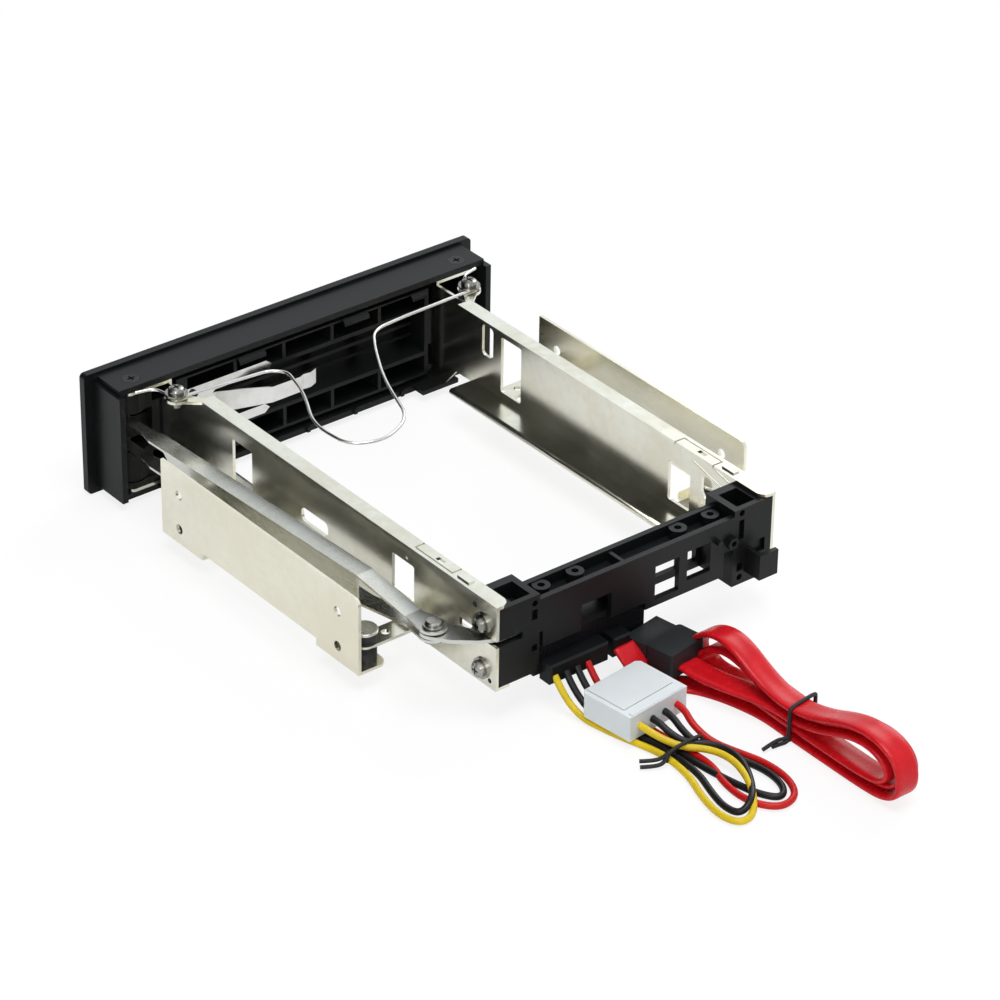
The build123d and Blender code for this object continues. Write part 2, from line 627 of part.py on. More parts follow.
# Door: a skin with pocketed walls behind it, a barrel round the hinge pin and an ear for the link
pocket_edges = [-door_box_half + door_wall + n * rib_pitch for n in range(6)]
with BuildPart() as front_door:
    with BuildSketch(Plane.XY.offset(door_bottom)):
        with BuildLine():
            Line((hinge_x, face + hinge_depth - barrel_r), (-door_left, face + hinge_depth - barrel_r))
            Line((-door_left, face + hinge_depth - barrel_r), (-door_left, face + door_back))
            Line((-door_left, face + door_back), (hinge_x - 3, face + door_back))
            Line((hinge_x - 3, face + door_back), (hinge_x, face + hinge_depth + barrel_r))
            ThreePointArc((hinge_x, face + hinge_depth + barrel_r), (hinge_x + barrel_r, face + hinge_depth),
                          (hinge_x, face + hinge_depth - barrel_r))
        make_face()
    extrude(amount=door_top - door_bottom)
    block((-door_left, door_front, ring_inner_bottom + door_lip_gap),
          (hinge_x, door_front + door_skin, ring_inner_top - door_lip_gap))
    block((-door_box_half, face + door_back - 0.1, door_bottom + 0.6),
          (door_box_half, face + door_box_back, door_top - 0.6))
    chamfer(front_door.faces().filter_by(Axis.Y).sort_by(Axis.Y)[0].edges().filter_by(Axis.X), 0.5)
    # Rows of pockets along the top and the bottom of the back
    skin_back = door_front + door_skin
    for index in range(5):
        low_x = pocket_edges[index]
        high_x = low_x + rib_pitch - rib_thickness
        block((low_x, skin_back, door_top - 6.7), (high_x, face + door_box_back + 1, door_top - 1.3),
              mode=Mode.SUBTRACT)
        block((low_x, skin_back, door_bottom + 1.6), (high_x, face + door_box_back + 1, door_bottom + 7.9),
              mode=Mode.SUBTRACT)
    for low, high in ((door_bottom + 1.6, latch_low - 3.1), (latch_high + 3.1, door_top - 1.3)):
        block((-door_left + door_wall, skin_back, low), (-door_box_half - 0.4, face + door_box_back, high),
              mode=Mode.SUBTRACT)
    block((door_box_half + 0.4, skin_back, door_top - 6.7),
          (hinge_x - 5.4, face + door_box_back, door_top - 1.3), mode=Mode.SUBTRACT)
    block((door_box_half + 0.4, skin_back, door_bottom + 1.6),
          (hinge_x - 5.4, face + door_box_back, door_bottom + 7.9), mode=Mode.SUBTRACT)
    # Middle cavity with louvres, and air slots through the skin between them
    block((-door_box_half + door_wall, skin_back, door_bottom + 9.3),
          (cavity_end, face + door_box_back + 1, door_top - 8.1), mode=Mode.SUBTRACT)
    for level in (door_bottom + 12.3, door_bottom + 16.3, door_bottom + 20.3):
        block((-door_box_half + 0.5, skin_back - 0.1, level),
              (cavity_end + 0.5, face + 5.0, level + rib_thickness))
    for level in (door_bottom + 10.3, door_bottom + 14.2, door_bottom + 18.2, door_bottom + 22.1):
        for index in range(5):
            low_x = pocket_edges[index] + 0.6
            high_x = min(low_x + rib_pitch - 2.4, cavity_end - 0.6)
            block((low_x, door_front - 1, level), (high_x, skin_back + 0.1, level + vent_height),
                  mode=Mode.SUBTRACT)
    # Broad tabs along the top of the back, and a short one near the latch
    for middle, width in ((20.6, 10.0), (-19.4, 9.6), (4.2 - door_box_half, 6.0)):
        with BuildSketch(Plane.YZ.offset(middle - width / 2)):
            with BuildLine():
                Polyline((face + door_box_back - 0.1, door_top - 0.6),
                         (face + door_box_back + 1.3, door_top - 1.8),
                         (face + door_box_back + 1.3, door_top - 2.8),
                         (face + door_box_back - 0.1, door_top - 1.9), close=True)
            make_face()
        extrude(amount=width)
    # Room for the link's fork round the hinge, and the ear that carries the crank pin
    block((hinge_x - 5.4, face - flange_thickness + 0.15, link_mid_front - 6.8),
          (hinge_x + 8, face + 10, link_mid_front + 6.8), mode=Mode.SUBTRACT)
    with BuildSketch(Plane.XY.offset(ear_low)):
        with Locations((crank_x, face + crank_depth)):
            Circle(2.0)
        with Locations((hinge_x, face + hinge_depth)):
            Circle(3.0)
        make_hull()
    extrude(amount=ear_high - ear_low)
    block((hinge_x - 5.6, face - flange_thickness, ear_low), (hinge_x, face + hinge_depth + 3, ear_high))
    upright(hinge_pin_r + hinge_bore_gap, hinge_x, face + hinge_depth, 0, flange_height, mode=Mode.SUBTRACT)
    upright(crank_pin_r + crank_pin_gap, crank_x, face + crank_depth, ear_low - 0.5, ear_high + 0.5,
            mode=Mode.SUBTRACT)
    # Guide for the latch, with a window in the skin for its pad and one in the end wall for its bolt
    block((-latch_left - 2, skin_back - 0.1, latch_low - 2.1),
          (-door_box_half, face + 4.2, latch_high + 2.1))
    block((-latch_left - latch_gap, skin_back, latch_low - latch_gap),
          (-latch_right + latch_travel + 0.5, face + 2.9, latch_high + latch_gap), mode=Mode.SUBTRACT)
    block((-latch_right, skin_back, latch_low + 1.2),
          (-latch_right + 2 * latch_travel + 1.0, face + 2.9, latch_high - 1.2), mode=Mode.SUBTRACT)
    block((-latch_left + 3.1, door_front - 1, latch_low - latch_gap),
          (-latch_right + 1.1, skin_back + 0.1, latch_high + latch_gap),
          mode=Mode.SUBTRACT)
    block((-door_left - 1, face - 0.8, latch_low + 0.2), (-latch_left, face + 2.8, latch_high - 0.2),
          mode=Mode.SUBTRACT)
    # Stakes that the spring plate is pressed on to
    for x, height in stakes:
        with Locations(Location((x, face + door_box_back, height), (90, 0, 0))):
            Cylinder(stake_r, 2 * 1.5)
front_door.part.label = "front_door"
export_step(front_door.part, "parts/front_door.step")

# Thumb latch that slides in the door's guide, with its return spring moulded on as a thin arm
with BuildPart() as door_latch:
    block((-latch_left, skin_back + latch_gap, latch_low), (-latch_right, face + 2.6, latch_high))
    block((latch_shy - mouth_half, face - 0.5, latch_low + 0.5),
          (-latch_left + 0.1, face + 2.5, latch_high - 0.5))
    block((-latch_left + 3.4, door_front - 0.3, latch_low),
          (-latch_right - 1.6, skin_back + latch_gap + 0.1, latch_high))
    for index in range(4):
        low_x = -latch_left + 4.5 + index * 1.7
        block((low_x, door_front - pad_proud, latch_low + 0.8),
              (low_x + 0.8, door_front - 0.2, latch_high - 0.8))
    with BuildSketch(Plane.XY.offset(latch_low + 1.6)):
        with BuildLine():
            Polyline((-latch_right - 0.2, face + 2.4), (-latch_right - 0.2, face + 1.7),
                     (-latch_right + 2.4, face - 1.0), (-latch_right + 2.4, face - 0.2), close=True)
        make_face()
    extrude(amount=latch_high - latch_low - 3.2)
door_latch.part.label = "door_latch"
export_step(door_latch.part, "parts/door_latch.step")

# Steel spring plate staked to the door's back. Its tongue, seen from above, bends out from the plate,
# runs level and ends in a rounded lip that presses the drive home.
plate_back = face + door_box_back
tongue_back = face + spring_reach
tongue_bend = [(9.8, plate_back), (12.2, plate_back), (28.4, tongue_back - spring_sheet),
               (39.0, tongue_back - spring_sheet), (40.8, tongue_back - 1.5), (43.8, tongue_back - 1.2),
               (46.4, tongue_back - 2.4), (46.4, tongue_back - 1.7), (43.6, tongue_back - 0.5),
               (41.0, tongue_back - 0.8), (39.2, tongue_back), (28.6, tongue_back),
               (12.0, plate_back + spring_sheet), (9.8, plate_back + spring_sheet)]
tongue_outline = [(9.8, spring_high - 4.4), (12.8, spring_high - 4.4), (28.4, spring_high - 5.4),
                  (47.4, spring_high - 5.6), (47.4, spring_low + 7.6), (28.4, spring_low + 7.5),
                  (12.8, spring_low + 6.5), (9.8, spring_low + 6.5)]
with BuildPart() as spring_tongue:
    with BuildSketch(Plane.XY.offset(spring_low + 5.6)):
        with BuildLine():
            Polyline(*[(spring_edge - run, depth) for run, depth in tongue_bend], close=True)
        make_face()
    extrude(amount=10)
    with BuildSketch(Plane.XZ.offset(1 - plate_back)):
        with BuildLine():
            Polyline(*[(spring_edge - run, height) for run, height in tongue_outline], close=True)
        make_face()
    extrude(amount=-12, mode=Mode.INTERSECT)

plate_outline = [(0, spring_low), (0, spring_high), (31.0, spring_high), (33.2, spring_high - 1.6),
                 (32.6, spring_high - 3.5), (11.8, spring_high - 3.5), (10.8, spring_high - 4.4),
                 (10.8, spring_low + 6.5), (11.8, spring_low + 5.6), (19.4, spring_low + 3.2),
                 (30.4, spring_low + 3.2), (32.2, spring_low + 1.6), (30.4, spring_low)]
with BuildPart() as door_spring_plate:
    with BuildSketch(Plane.XZ.offset(-plate_back)):
        with BuildLine():
            Polyline(*[(spring_edge - run, height) for run, height in plate_outline], close=True)
        make_face()
        with Locations(*stakes):
            Circle(stake_r + 0.05, mode=Mode.SUBTRACT)
    extrude(amount=-spring_sheet)
    add(spring_tongue.part)
door_spring_plate.part.label = "door_spring_plate"
export_step(door_spring_plate.part, "parts/door_spring_plate.step")

# Crank pin in the door's ear, with a collar on each side of the ear and a head beyond each fork
fork_low = link_mid_front - link_height / 2
fork_high = link_mid_front + link_height / 2
with BuildPart() as crank_pin:
    upright(crank_pin_r, crank_x, face + crank_depth, fork_low - 0.9, fork_high + 0.9)
    upright(1.4, crank_x, face + crank_depth, ear_high, ear_high + 0.2)
    upright(1.4, crank_x, face + crank_depth, ear_low - 0.2, ear_low)
    upright(1.6, crank_x, face + crank_depth, fork_high + 0.3, fork_high + 0.9)
    upright(1.6, crank_x, face + crank_depth, fork_low - 0.9, fork_low - 0.3)
crank_pin.part.label = "crank_pin"
export_step(crank_pin.part, "parts/crank_pin.step")

# Link from the door's crank to the ejector lever: a channel with a fork at each end. It is drawn on
# a plane that stands at the crank pin and looks along the link to the rivet.
run_x = lever_pin_x - crank_x
run_y = lever_pin_depth - crank_depth
run_z = lever_mid - link_mid_front
run = hypot(hypot(run_x, run_y), run_z)
link_plane = Plane(origin=(crank_x, face + crank_depth, link_mid_front),
                   x_dir=(run_y, -run_x, 0), z_dir=(-run_x, -run_y, -run_z))
half = link_height / 2
flat_half = lever_thickness / 2 + lever_face_gap + link_sheet
web_start = link_web_start - crank_depth
web_end = link_web_end - crank_depth
flat_start = run - link_flat_back
with BuildPart() as ejector_link:
    # Side view: outer outline of the channel with its tapered rear end
    side_plane = Plane(origin=link_plane.origin, x_dir=-link_plane.z_dir, z_dir=link_plane.x_dir)
    for sign in (1, -1):
        with BuildSketch(side_plane.offset(-link_end_r)):
            with BuildLine():
                Polyline((-prong_half_width, sign * half), (web_end, sign * half),
                         (flat_start, sign * flat_half), (run + link_end_r, sign * flat_half),
                         (run + link_end_r, sign * (flat_half - link_sheet)),
                         (flat_start, sign * (flat_half - link_sheet)),
                         (web_end, sign * (half - link_sheet)),
                         (-prong_half_width, sign * (half - link_sheet)), close=True)
            make_face()
        extrude(amount=2 * link_end_r)
    with BuildSketch(side_plane.offset(link_half_width - link_sheet)):
        with BuildLine():
            Polyline((web_start, half - 0.1), (web_end, half - 0.1), (web_end, -half + 0.1),
                     (web_start, -half + 0.1), (web_start + 5, 0), close=True)
        make_face()
    extrude(amount=link_sheet)
    # Plan view: the parts of the sheet outside the fork's and the eye's outline are trimmed off
    top_plane = Plane(origin=link_plane.origin, x_dir=link_plane.x_dir, z_dir=link_plane.y_dir)
    with BuildSketch(top_plane.offset(-link_height)):
        with BuildLine():
            Polyline((prong_half_width, 0), (prong_half_width, fork_length - 4),
                     (link_half_width, fork_length), (link_half_width, run - 8), (link_end_r, run),
                     (-link_end_r, run), (-link_half_width, run - 8), (-link_half_width, fork_length),
                     (-prong_half_width, fork_length - 4), (-prong_half_width, 0), close=True)
        make_face()
        Circle(prong_half_width)
        with Locations((0, run)):
            Circle(link_end_r)
        with Locations((0, run)):
            SlotOverall(2 * (rivet_r + rivet_slack_x), 2 * (rivet_r + rivet_slack_y), mode=Mode.SUBTRACT)
    extrude(amount=2 * link_height, mode=Mode.INTERSECT)
    upright(crank_pin_r + crank_pin_gap, crank_x, face + crank_depth, 0, flange_height, mode=Mode.SUBTRACT)
ejector_link.part.label = "ejector_link"
export_step(ejector_link.part, "parts/ejector_link.step")

# Ejector lever, a flat plate that turns on the bracket and pushes the drive's rear with its finger
lever_low = lever_mid - lever_thickness / 2
with BuildPart() as ejector_lever:
    with BuildSketch(Plane.XY.offset(lever_low)):
        with BuildLine():
            Polyline((lever_pin_x - 3.3, face + lever_pin_depth - 2.6),
                     (rail_outer + 0.4, face + bracket_front_depth + 0.4),
                     (fulcrum_x + 3.0, face + fulcrum_depth - 4.6),
                     (fulcrum_x - 2.5, face + fulcrum_depth - 5.3),
                     (lever_tip_x + 0.3, face + lever_tip_depth - lever_tip_r),
                     (lever_tip_x - 0.4, face + lever_tip_depth + lever_tip_r - 0.1),
                     (fulcrum_x - 6.4, face + fulcrum_depth + 1.8),
                     (fulcrum_x - 2.4, face + fulcrum_depth + 5.2),
                     (fulcrum_x + 5.0, face + fulcrum_depth + 5.2),
                     (fulcrum_x + 10.8, face + fulcrum_depth + 2.4),
                     (fulcrum_x + 16.8, face + fulcrum_depth - 2.6),
                     (lever_pin_x + 3.6, face + lever_pin_depth + 2.4), close=True)
        make_face()
        with Locations((lever_pin_x, face + lever_pin_depth)):
            Circle(lever_end_r)
        with Locations((lever_tip_x, face + lever_tip_depth)):
            Circle(lever_tip_r)
        with Locations((fulcrum_x, face + fulcrum_depth)):
            Circle(lever_hub_r)
            Circle(fulcrum_r + hinge_bore_gap, mode=Mode.SUBTRACT)
        with Locations((lever_pin_x, face + lever_pin_depth)):
            Circle(rivet_neck_r + 0.05, mode=Mode.SUBTRACT)
    extrude(amount=lever_thickness)
ejector_lever.part.label = "ejector_lever"
export_step(ejector_lever.part, "parts/ejector_lever.step")

# Rivet through the lever and both eyes of the link
half_stack = flat_half + 0.3
with BuildPart() as link_rivet:
    x, y = lever_pin_x, face + lever_pin_depth
    upright(rivet_neck_r, x, y, lever_low, lever_low + lever_thickness)
    for low, high in ((lever_mid + lever_thickness / 2, lever_mid + half_stack),
                      (lever_mid - half_stack, lever_mid - lever_thickness / 2)):
        upright(rivet_r, x, y, low, high)
    upright(rivet_washer_r, x, y, lever_mid + half_stack, lever_mid + half_stack + 0.5)
    upright(rivet_head_r, x, y, lever_mid + half_stack + 0.4, lever_mid + half_stack + 1.5)
    chamfer(link_rivet.edges().group_by(Axis.Z)[-1], 0.5)
    upright(rivet_washer_r, x, y, lever_mid - half_stack - 0.8, lever_mid - half_stack)
link_rivet.part.label = "link_rivet"
export_step(link_rivet.part, "parts/link_rivet.step")

# Pin the lever turns on, pressed in the bracket
with BuildPart() as lever_fulcrum_pin:
    upright(fulcrum_r, fulcrum_x, face + fulcrum_depth, lever_low - 4, bracket_floor)
lever_fulcrum_pin.part.label = "lever_fulcrum_pin"
export_step(lever_fulcrum_pin.part, "parts/lever_fulcrum_pin.step")

# Rear bracket: a black moulding across the rails' rear ends
with BuildPart() as rear_bracket:
    block((-rail_inner, bracket_front, bracket_bottom + 8), (rail_inner, bracket_rear, bracket_top))
    block((-bracket_drop_left, bracket_front, bracket_bottom),
          (socket_high_x, bracket_rear, bracket_top - 4))
    block((socket_low_x - 1.5, bracket_front, bracket_low_bottom), (socket_high_x + 1.5, face + socket_back,
                                                                   bracket_bottom + 1))
    for side in (-1, 1):
        low_x, high_x = across(side, rail_inner - end_block_length, rail_inner)
        block((low_x, bracket_front - end_block_front, drive_floor), (high_x, bracket_rear, rail_top - 1.2))
        low_x, high_x = across(side, *pocket_x)
        block((low_x, bracket_front + 0.4, bracket_floor), (high_x, bracket_rear - bracket_wall, 50),
              mode=Mode.SUBTRACT)
    # Trough along the top
    block((-rail_inner + end_block_length, bracket_front + bracket_wall, bracket_floor),
          (rail_inner - end_block_length, bracket_rear - bracket_wall, bracket_top + 1), mode=Mode.SUBTRACT)
    block((3.4, bracket_front + bracket_wall - 0.1, bracket_floor - 0.1),
          (4.6, bracket_rear - bracket_wall + 0.1, bracket_top - 0.6))
    with Locations(*[(x, face + boss_depth, (bracket_floor + bracket_top - 0.3) / 2) for x in boss_xs]):
        Cylinder(boss_r, bracket_top - 0.3 - bracket_floor)
    with Locations(*[(x, face + boss_depth, bracket_top - 3) for x in boss_xs]):
        Cylinder(boss_hole_r, 8, mode=Mode.SUBTRACT)
    # Hollows under the trough, open below, that leave walls of one thickness
    block((-bracket_drop_left + bracket_wall, bracket_front + bracket_wall, 0),
          (socket_low_x - 3.4, bracket_rear - bracket_wall, bracket_floor - bracket_floor_thickness),
          mode=Mode.SUBTRACT)
    # A second hollow over the receptacle
    under_floor = bracket_floor - bracket_floor_thickness
    over_socket = socket_bottom + socket_height
    block((socket_low_x + bracket_wall, bracket_front + bracket_wall, over_socket + bracket_wall),
          (lever_tip_x - 6.4, bracket_rear - bracket_wall, under_floor), mode=Mode.SUBTRACT)
    # Windows in the rear wall, and lower ones in the front wall that face them
    for low_x, high_x, low, high in ((9.8, 20.9, over_socket - 0.4, 28.2),
                                     (-15.5, -6.5, 19.3, 30.5), (-27.4, -18.6, 21.2, 31.0)):
        block((low_x, bracket_rear - bracket_wall - 0.1, low), (high_x, bracket_rear + 1, high),
              mode=Mode.SUBTRACT)
    for low_x, high_x, low, high in ((7.0, 18.6, over_socket + bracket_wall, 25.4),
                                     (-22.6, -10.6, 19.6, 25.6), (-29.4, -25.2, 19.6, 25.6)):
        block((low_x, bracket_front - 1, low), (high_x, bracket_front + bracket_wall + 0.1, high),
              mode=Mode.SUBTRACT)
    # Seat for the receptacle, open to the front and to the rear
    block((socket_low_x, bracket_front - 4, socket_bottom),
          (socket_high_x, bracket_rear + 1, socket_bottom + socket_height), mode=Mode.SUBTRACT)
    block((socket_low_x - 2, face + socket_back, 0), (socket_high_x + 2, bracket_rear + 1, boot_high + 0.3),
          mode=Mode.SUBTRACT)
    # Slot for the lever, closed behind its finger
    slot_low = lever_low - 0.5
    slot_high = lever_low + lever_thickness + 0.5
    block((lever_tip_x - 4.6, bracket_front - 4, slot_low),
          (rail_inner, face + fulcrum_depth + 2.4, slot_high), mode=Mode.SUBTRACT)
    block((fulcrum_x - 7.2, bracket_front - 4, slot_low), (rail_inner, bracket_rear - 0.8, slot_high),
          mode=Mode.SUBTRACT)
    block((fulcrum_x - 1.6, bracket_front - 4, slot_low), (rail_inner, bracket_rear + 1, slot_high),
          mode=Mode.SUBTRACT)
    upright(fulcrum_r - thread_bite / 2, fulcrum_x, face + fulcrum_depth, lever_low - 4, bracket_floor + 1,
            mode=Mode.SUBTRACT)
    # Holes for the rails' screws
    for side in (-1, 1):
        for height in bracket_screw_heights:
            with Locations(Location((side * (rail_inner - 2.2), face + rail_end - screw_depth_in, height),
                                    (0, 90, 0))):
                Cylinder(m3_r - thread_bite, 4.4, mode=Mode.SUBTRACT)
    # Small holes and slots in the rear face
    for x, z in ((38.1, bracket_top - 0.6), (-39.1, bracket_top + 0.4), (-39.1, 14.5)):
        with Locations(Location((x, bracket_rear, z), (90, 0, 0))):
            Cylinder(1.0, 3.0, mode=Mode.SUBTRACT)
    for x, z, tall in ((38.1, 31.7, 3.4), (-39.1, 30.9, 6.6), (-38.9, 18.0, 2.6), (38.0, 20.5, 2.2)):
        block((x - 1.0, bracket_rear - 1.4, z - tall / 2), (x + 1.0, bracket_rear + 1, z + tall / 2),
              mode=Mode.SUBTRACT)
    block((-48.5, bracket_rear - 1.2, 20.6), (-43.4, bracket_rear + 1, 25.0), mode=Mode.SUBTRACT)
    with Locations(Location((-29.8, bracket_rear + 0.8, 30.2), (90, 0, 0))):
        Cylinder(0.9, 1.8)
    with BuildSketch(Plane.XZ.offset(-bracket_rear)):
        with Locations((-35.1, 28.2)):
            RegularPolygon(2.1, 6)
            Circle(0.9, mode=Mode.SUBTRACT)
    extrude(amount=-1.6)
    # Hook for the cables on the rear face
    hook_low_x = hook_inset - rail_inner
    hook_high_x = hook_low_x + hook_width
    block((hook_high_x - hook_thickness, bracket_rear - 0.1, bracket_bottom - 1.4),
          (hook_high_x, bracket_rear + hook_reach, bracket_bottom + 6.9))
    block((hook_low_x, bracket_rear + hook_reach - hook_thickness, bracket_bottom - 1.4),
          (hook_high_x, bracket_rear + hook_reach, bracket_bottom + 6.9))
rear_bracket.part.label = "rear_bracket"
export_step(rear_bracket.part, "parts/rear_bracket.step")

# Receptacle for the drive's data and power edge contacts
with BuildPart() as sata_receptacle:
    block((socket_low_x, face + socket_front, socket_bottom),
          (socket_high_x, face + socket_back, socket_bottom + socket_height))
    chamfer(sata_receptacle.faces().sort_by(Axis.Y)[0].edges(), 0.5)
    for low_x, high_x in slot_spans:
        block((low_x, face + socket_front - 1, slot_floor),
              (high_x, face + socket_front + slot_reach, slot_floor + 2.4), mode=Mode.SUBTRACT)
        # Key leg of each slot
        block((low_x, face + socket_front - 1, slot_floor - 1.2),
              (low_x + 1.2, face + socket_front + slot_reach, slot_floor + 0.1), mode=Mode.SUBTRACT)
sata_receptacle.part.label = "sata_receptacle"
export_step(sata_receptacle.part, "parts/sata_receptacle.step")

# Contacts along the floor of both slots
with BuildPart() as receptacle_contacts:
    for (low_x, high_x), count in zip(slot_spans, (7, 15)):
        first = (low_x + high_x + 1.2) / 2 - (count - 1) * contact_pitch / 2
        for index in range(count):
            x = first + index * contact_pitch
            block((x - 0.35, face + socket_front + 0.8, slot_floor),
                  (x + 0.35, face + socket_front + slot_reach, slot_floor + 0.3))
receptacle_contacts.part.label = "receptacle_contacts"
export_step(receptacle_contacts.part, "parts/receptacle_contacts.step")

# Overmoulded backs of the receptacle, where the cables leave
with BuildPart() as power_boot:
    block((12.6, face + socket_back, boot_low), (34.2, face + boot_back, boot_high))
    chamfer(power_boot.faces().sort_by(Axis.Y)[-1].edges(), 0.6)
power_boot.part.label = "power_boot"
export_step(power_boot.part, "parts/power_boot.step")

with BuildPart() as data_boot:
    block((4.5, face + socket_back, boot_low), (10.8, face + boot_back, boot_high))
    chamfer(data_boot.faces().sort_by(Axis.Y)[-1].edges(), 0.6)
data_boot.part.label = "data_boot"
export_step(data_boot.part, "parts/data_boot.step")


def cord(points, diameter):
    """One round cord through points given as x, distance behind the bracket and height."""
    points = [(x, bracket_rear + back, z) for x, back, z in points]
    with BuildPart() as strand:
        with BuildLine() as path:
            if len(points) > 2:
                FilletPolyline(*points, radius=corner_radii(points))
            else:
                Line(*points)
        with BuildSketch(Plane(origin=path.line @ 0, z_dir=path.line % 0)):
            Circle(diameter / 2)
        sweep()
    route = path.wire().length
    expected = route * pi * diameter ** 2 / 4
    print("cord", round(route, 1), round(strand.part.volume / expected, 4))
    return strand.part


# Four power wires from the boot down to the floor and back under the white connector
power_exits = (32.4, 28.4, 24.4, 20.4)
power_lanes = (25.4, 23.1, 20.8, 18.5)
lead_strands = []
for exit_x, lane_x in zip(power_exits, power_lanes):
    lead_strands.append(cord([(exit_x, boot_reach - 0.5, 10.3), (exit_x - 0.3, 9.3, 1.2),
                              ((exit_x + lane_x) / 2 + 0.4, 25.0, 1.2), (lane_x, 40.0, 1.2)], power_wire_d))
with BuildPart() as power_lead:
    for strand in lead_strands:
        add(strand)
power_lead.part.label = "power_lead"
export_step(power_lead.part, "parts/power_lead.step")

# The power wires' folded slack, one flat fan with a waist for its tie
hank_outline = [(16.9, 39.6), (27.0, 39.6), (27.0, 48.0), (31.6, 65.0), (32.4, 77.0), (29.6, 82.4),
                (12.0, 82.4), (5.0, 77.0), (3.8, 65.0), (6.6, 55.0), (16.9, 48.0)]
with BuildPart() as power_hank:
    with BuildSketch(Plane.XY) as hank:
        with BuildLine():
            Polyline(*[(x, bracket_rear + back) for x, back in hank_outline], close=True)
        make_face()
        fillet(hank.vertices().group_by(Axis.Y)[-1], 2.2)
    extrude(amount=4.6)
    block((0, bracket_rear + 43.4, -1), (40, bracket_rear + 46.8, 0.8), mode=Mode.SUBTRACT)
power_hank.part.label = "power_hank"
export_step(power_hank.part, "parts/power_hank.step")

with BuildPart() as power_tie:
    block((16.1, bracket_rear + 43.6, 0), (27.8, bracket_rear + 46.6, 5.4))
    block((16.9, bracket_rear + 43, 0.8), (27.0, bracket_rear + 47, 4.6), mode=Mode.SUBTRACT)
power_tie.part.label = "power_tie"
export_step(power_tie.part, "parts/power_tie.step")

# White four way power connector, lying on the wires
connector = Plane(origin=(19.2, bracket_rear + 22, 6.7), x_dir=(cos(radians(7)), sin(radians(7)), 0),
                  z_dir=(0, 0, 1))
with BuildPart() as power_connector:
    with BuildSketch(connector.offset(-4.05)) as body:
        Rectangle(23.4, 19.0)
    extrude(amount=8.1)
    chamfer(power_connector.edges().filter_by(Axis.Z).sort_by(Axis.Y)[:2], 1.2)
    with BuildSketch(Plane(origin=connector.origin, x_dir=connector.x_dir, z_dir=connector.y_dir)):
        with GridLocations(5.08, 0, 4, 1):
            Circle(2.0)
    extrude(amount=-12, mode=Mode.SUBTRACT)
power_connector.part.label = "power_connector"
export_step(power_connector.part, "parts/power_connector.step")

# Pins in the connector's four ways
with BuildPart() as power_pins:
    with BuildSketch(Plane(origin=connector.origin, x_dir=connector.x_dir, z_dir=connector.y_dir)):
        with GridLocations(5.08, 0, 4, 1):
            Circle(1.05)
    extrude(amount=-7.5)
power_pins.part.label = "power_pins"
export_step(power_pins.part, "parts/power_pins.step")

# Four short wires from the hank up into the back of the connector
return_strands = []
for index, lane_x in enumerate(power_lanes):
    entry = connector.from_local_coords(Vector(7.62 - 5.08 * index, 9.2, -0.2))
    return_strands.append(cord([(entry.X, entry.Y - bracket_rear, entry.Z), (lane_x, 40.0, 3.5)],
                               power_wire_d))
with BuildPart() as power_return:
    for strand in return_strands:
        add(strand)
power_return.part.label = "power_return"
export_step(power_return.part, "parts/power_return.step")

# Data cable: a lead, the flat folded coil with a waist for its tie, and the plug in front of it
with BuildPart() as data_cable_lead:
    add(cord([(6.8, boot_reach - 0.5, 10.3), (5.8, 10.6, 1.8), (1.4, 20.0, 1.8), (-4.2, 28.0, 1.8)],
             data_lead_d))
data_cable_lead.part.label = "data_cable_lead"
export_step(data_cable_lead.part, "parts/data_cable_lead.step")

coil_outline = [(-15.2, 4.6), (-22.0, 3.2), (-27.0, 7.0), (-25.0, 19.0), (-21.6, 33.0), (-21.4, 53.0),
                (-27.0, 61.0), (-30.2, 69.0), (-29.4, 82.0), (-25.4, 96.0), (-19.0, 102.0), (-12.0, 98.4),
                (-9.6, 85.0), (-10.6, 67.0), (-10.6, 55.0), (-7.4, 38.0), (-3.2, 24.0), (-3.6, 20.0),
                (-15.2, 20.0)]
with BuildPart() as data_cable_coil:
    with BuildSketch(Plane.XY) as coil:
        with BuildLine():
            Polyline(*[(x, bracket_rear + back) for x, back in coil_outline], close=True)
        make_face()
    extrude(amount=8.0)
    block((-40, bracket_rear + 46.6, -1), (10, bracket_rear + 50.4, 0.8), mode=Mode.SUBTRACT)
data_cable_coil.part.label = "data_cable_coil"
export_step(data_cable_coil.part, "parts/data_cable_coil.step")

with BuildPart() as data_cable_tie:
    block((-22.4, bracket_rear + 46.8, 0), (-8.1, bracket_rear + 50.2, 8.8))
    block((-21.6, bracket_rear + 46, 0.8), (-8.9, bracket_rear + 51, 8.0), mode=Mode.SUBTRACT)
data_cable_tie.part.label = "data_cable_tie"
export_step(data_cable_tie.part, "parts/data_cable_tie.step")

plug = Plane(origin=(-4.1, bracket_rear + 6.4, 7.9), x_dir=(cos(radians(10)), sin(radians(10)), 0),
             z_dir=(0, 0, 1))
with BuildPart() as data_cable_plug:
    with BuildSketch(plug.offset(-3.3)):
        with Locations((0, -3.8)):
            Rectangle(14.2, 8.2)
    extrude(amount=6.6)
    with BuildSketch(Plane(origin=plug.origin, x_dir=plug.x_dir, z_dir=plug.y_dir).offset(-7.9)):
        Rectangle(9.6, 1.9)
        with Locations((-4.2, 0.9)):
            Rectangle(1.2, 1.8)
    extrude(amount=6.0, mode=Mode.SUBTRACT)
data_cable_plug.part.label = "data_cable_plug"
export_step(data_cable_plug.part, "parts/data_cable_plug.step")

with BuildPart() as data_plug_boot:
    with BuildSketch(plug.offset(-4.1)):
        with Locations((0, 5.2)):
            RectangleRounded(15.0, 9.8, 1.2)
    extrude(amount=8.2)
data_plug_boot.part.label = "data_plug_boot"
export_step(data_plug_boot.part, "parts/data_plug_boot.step")

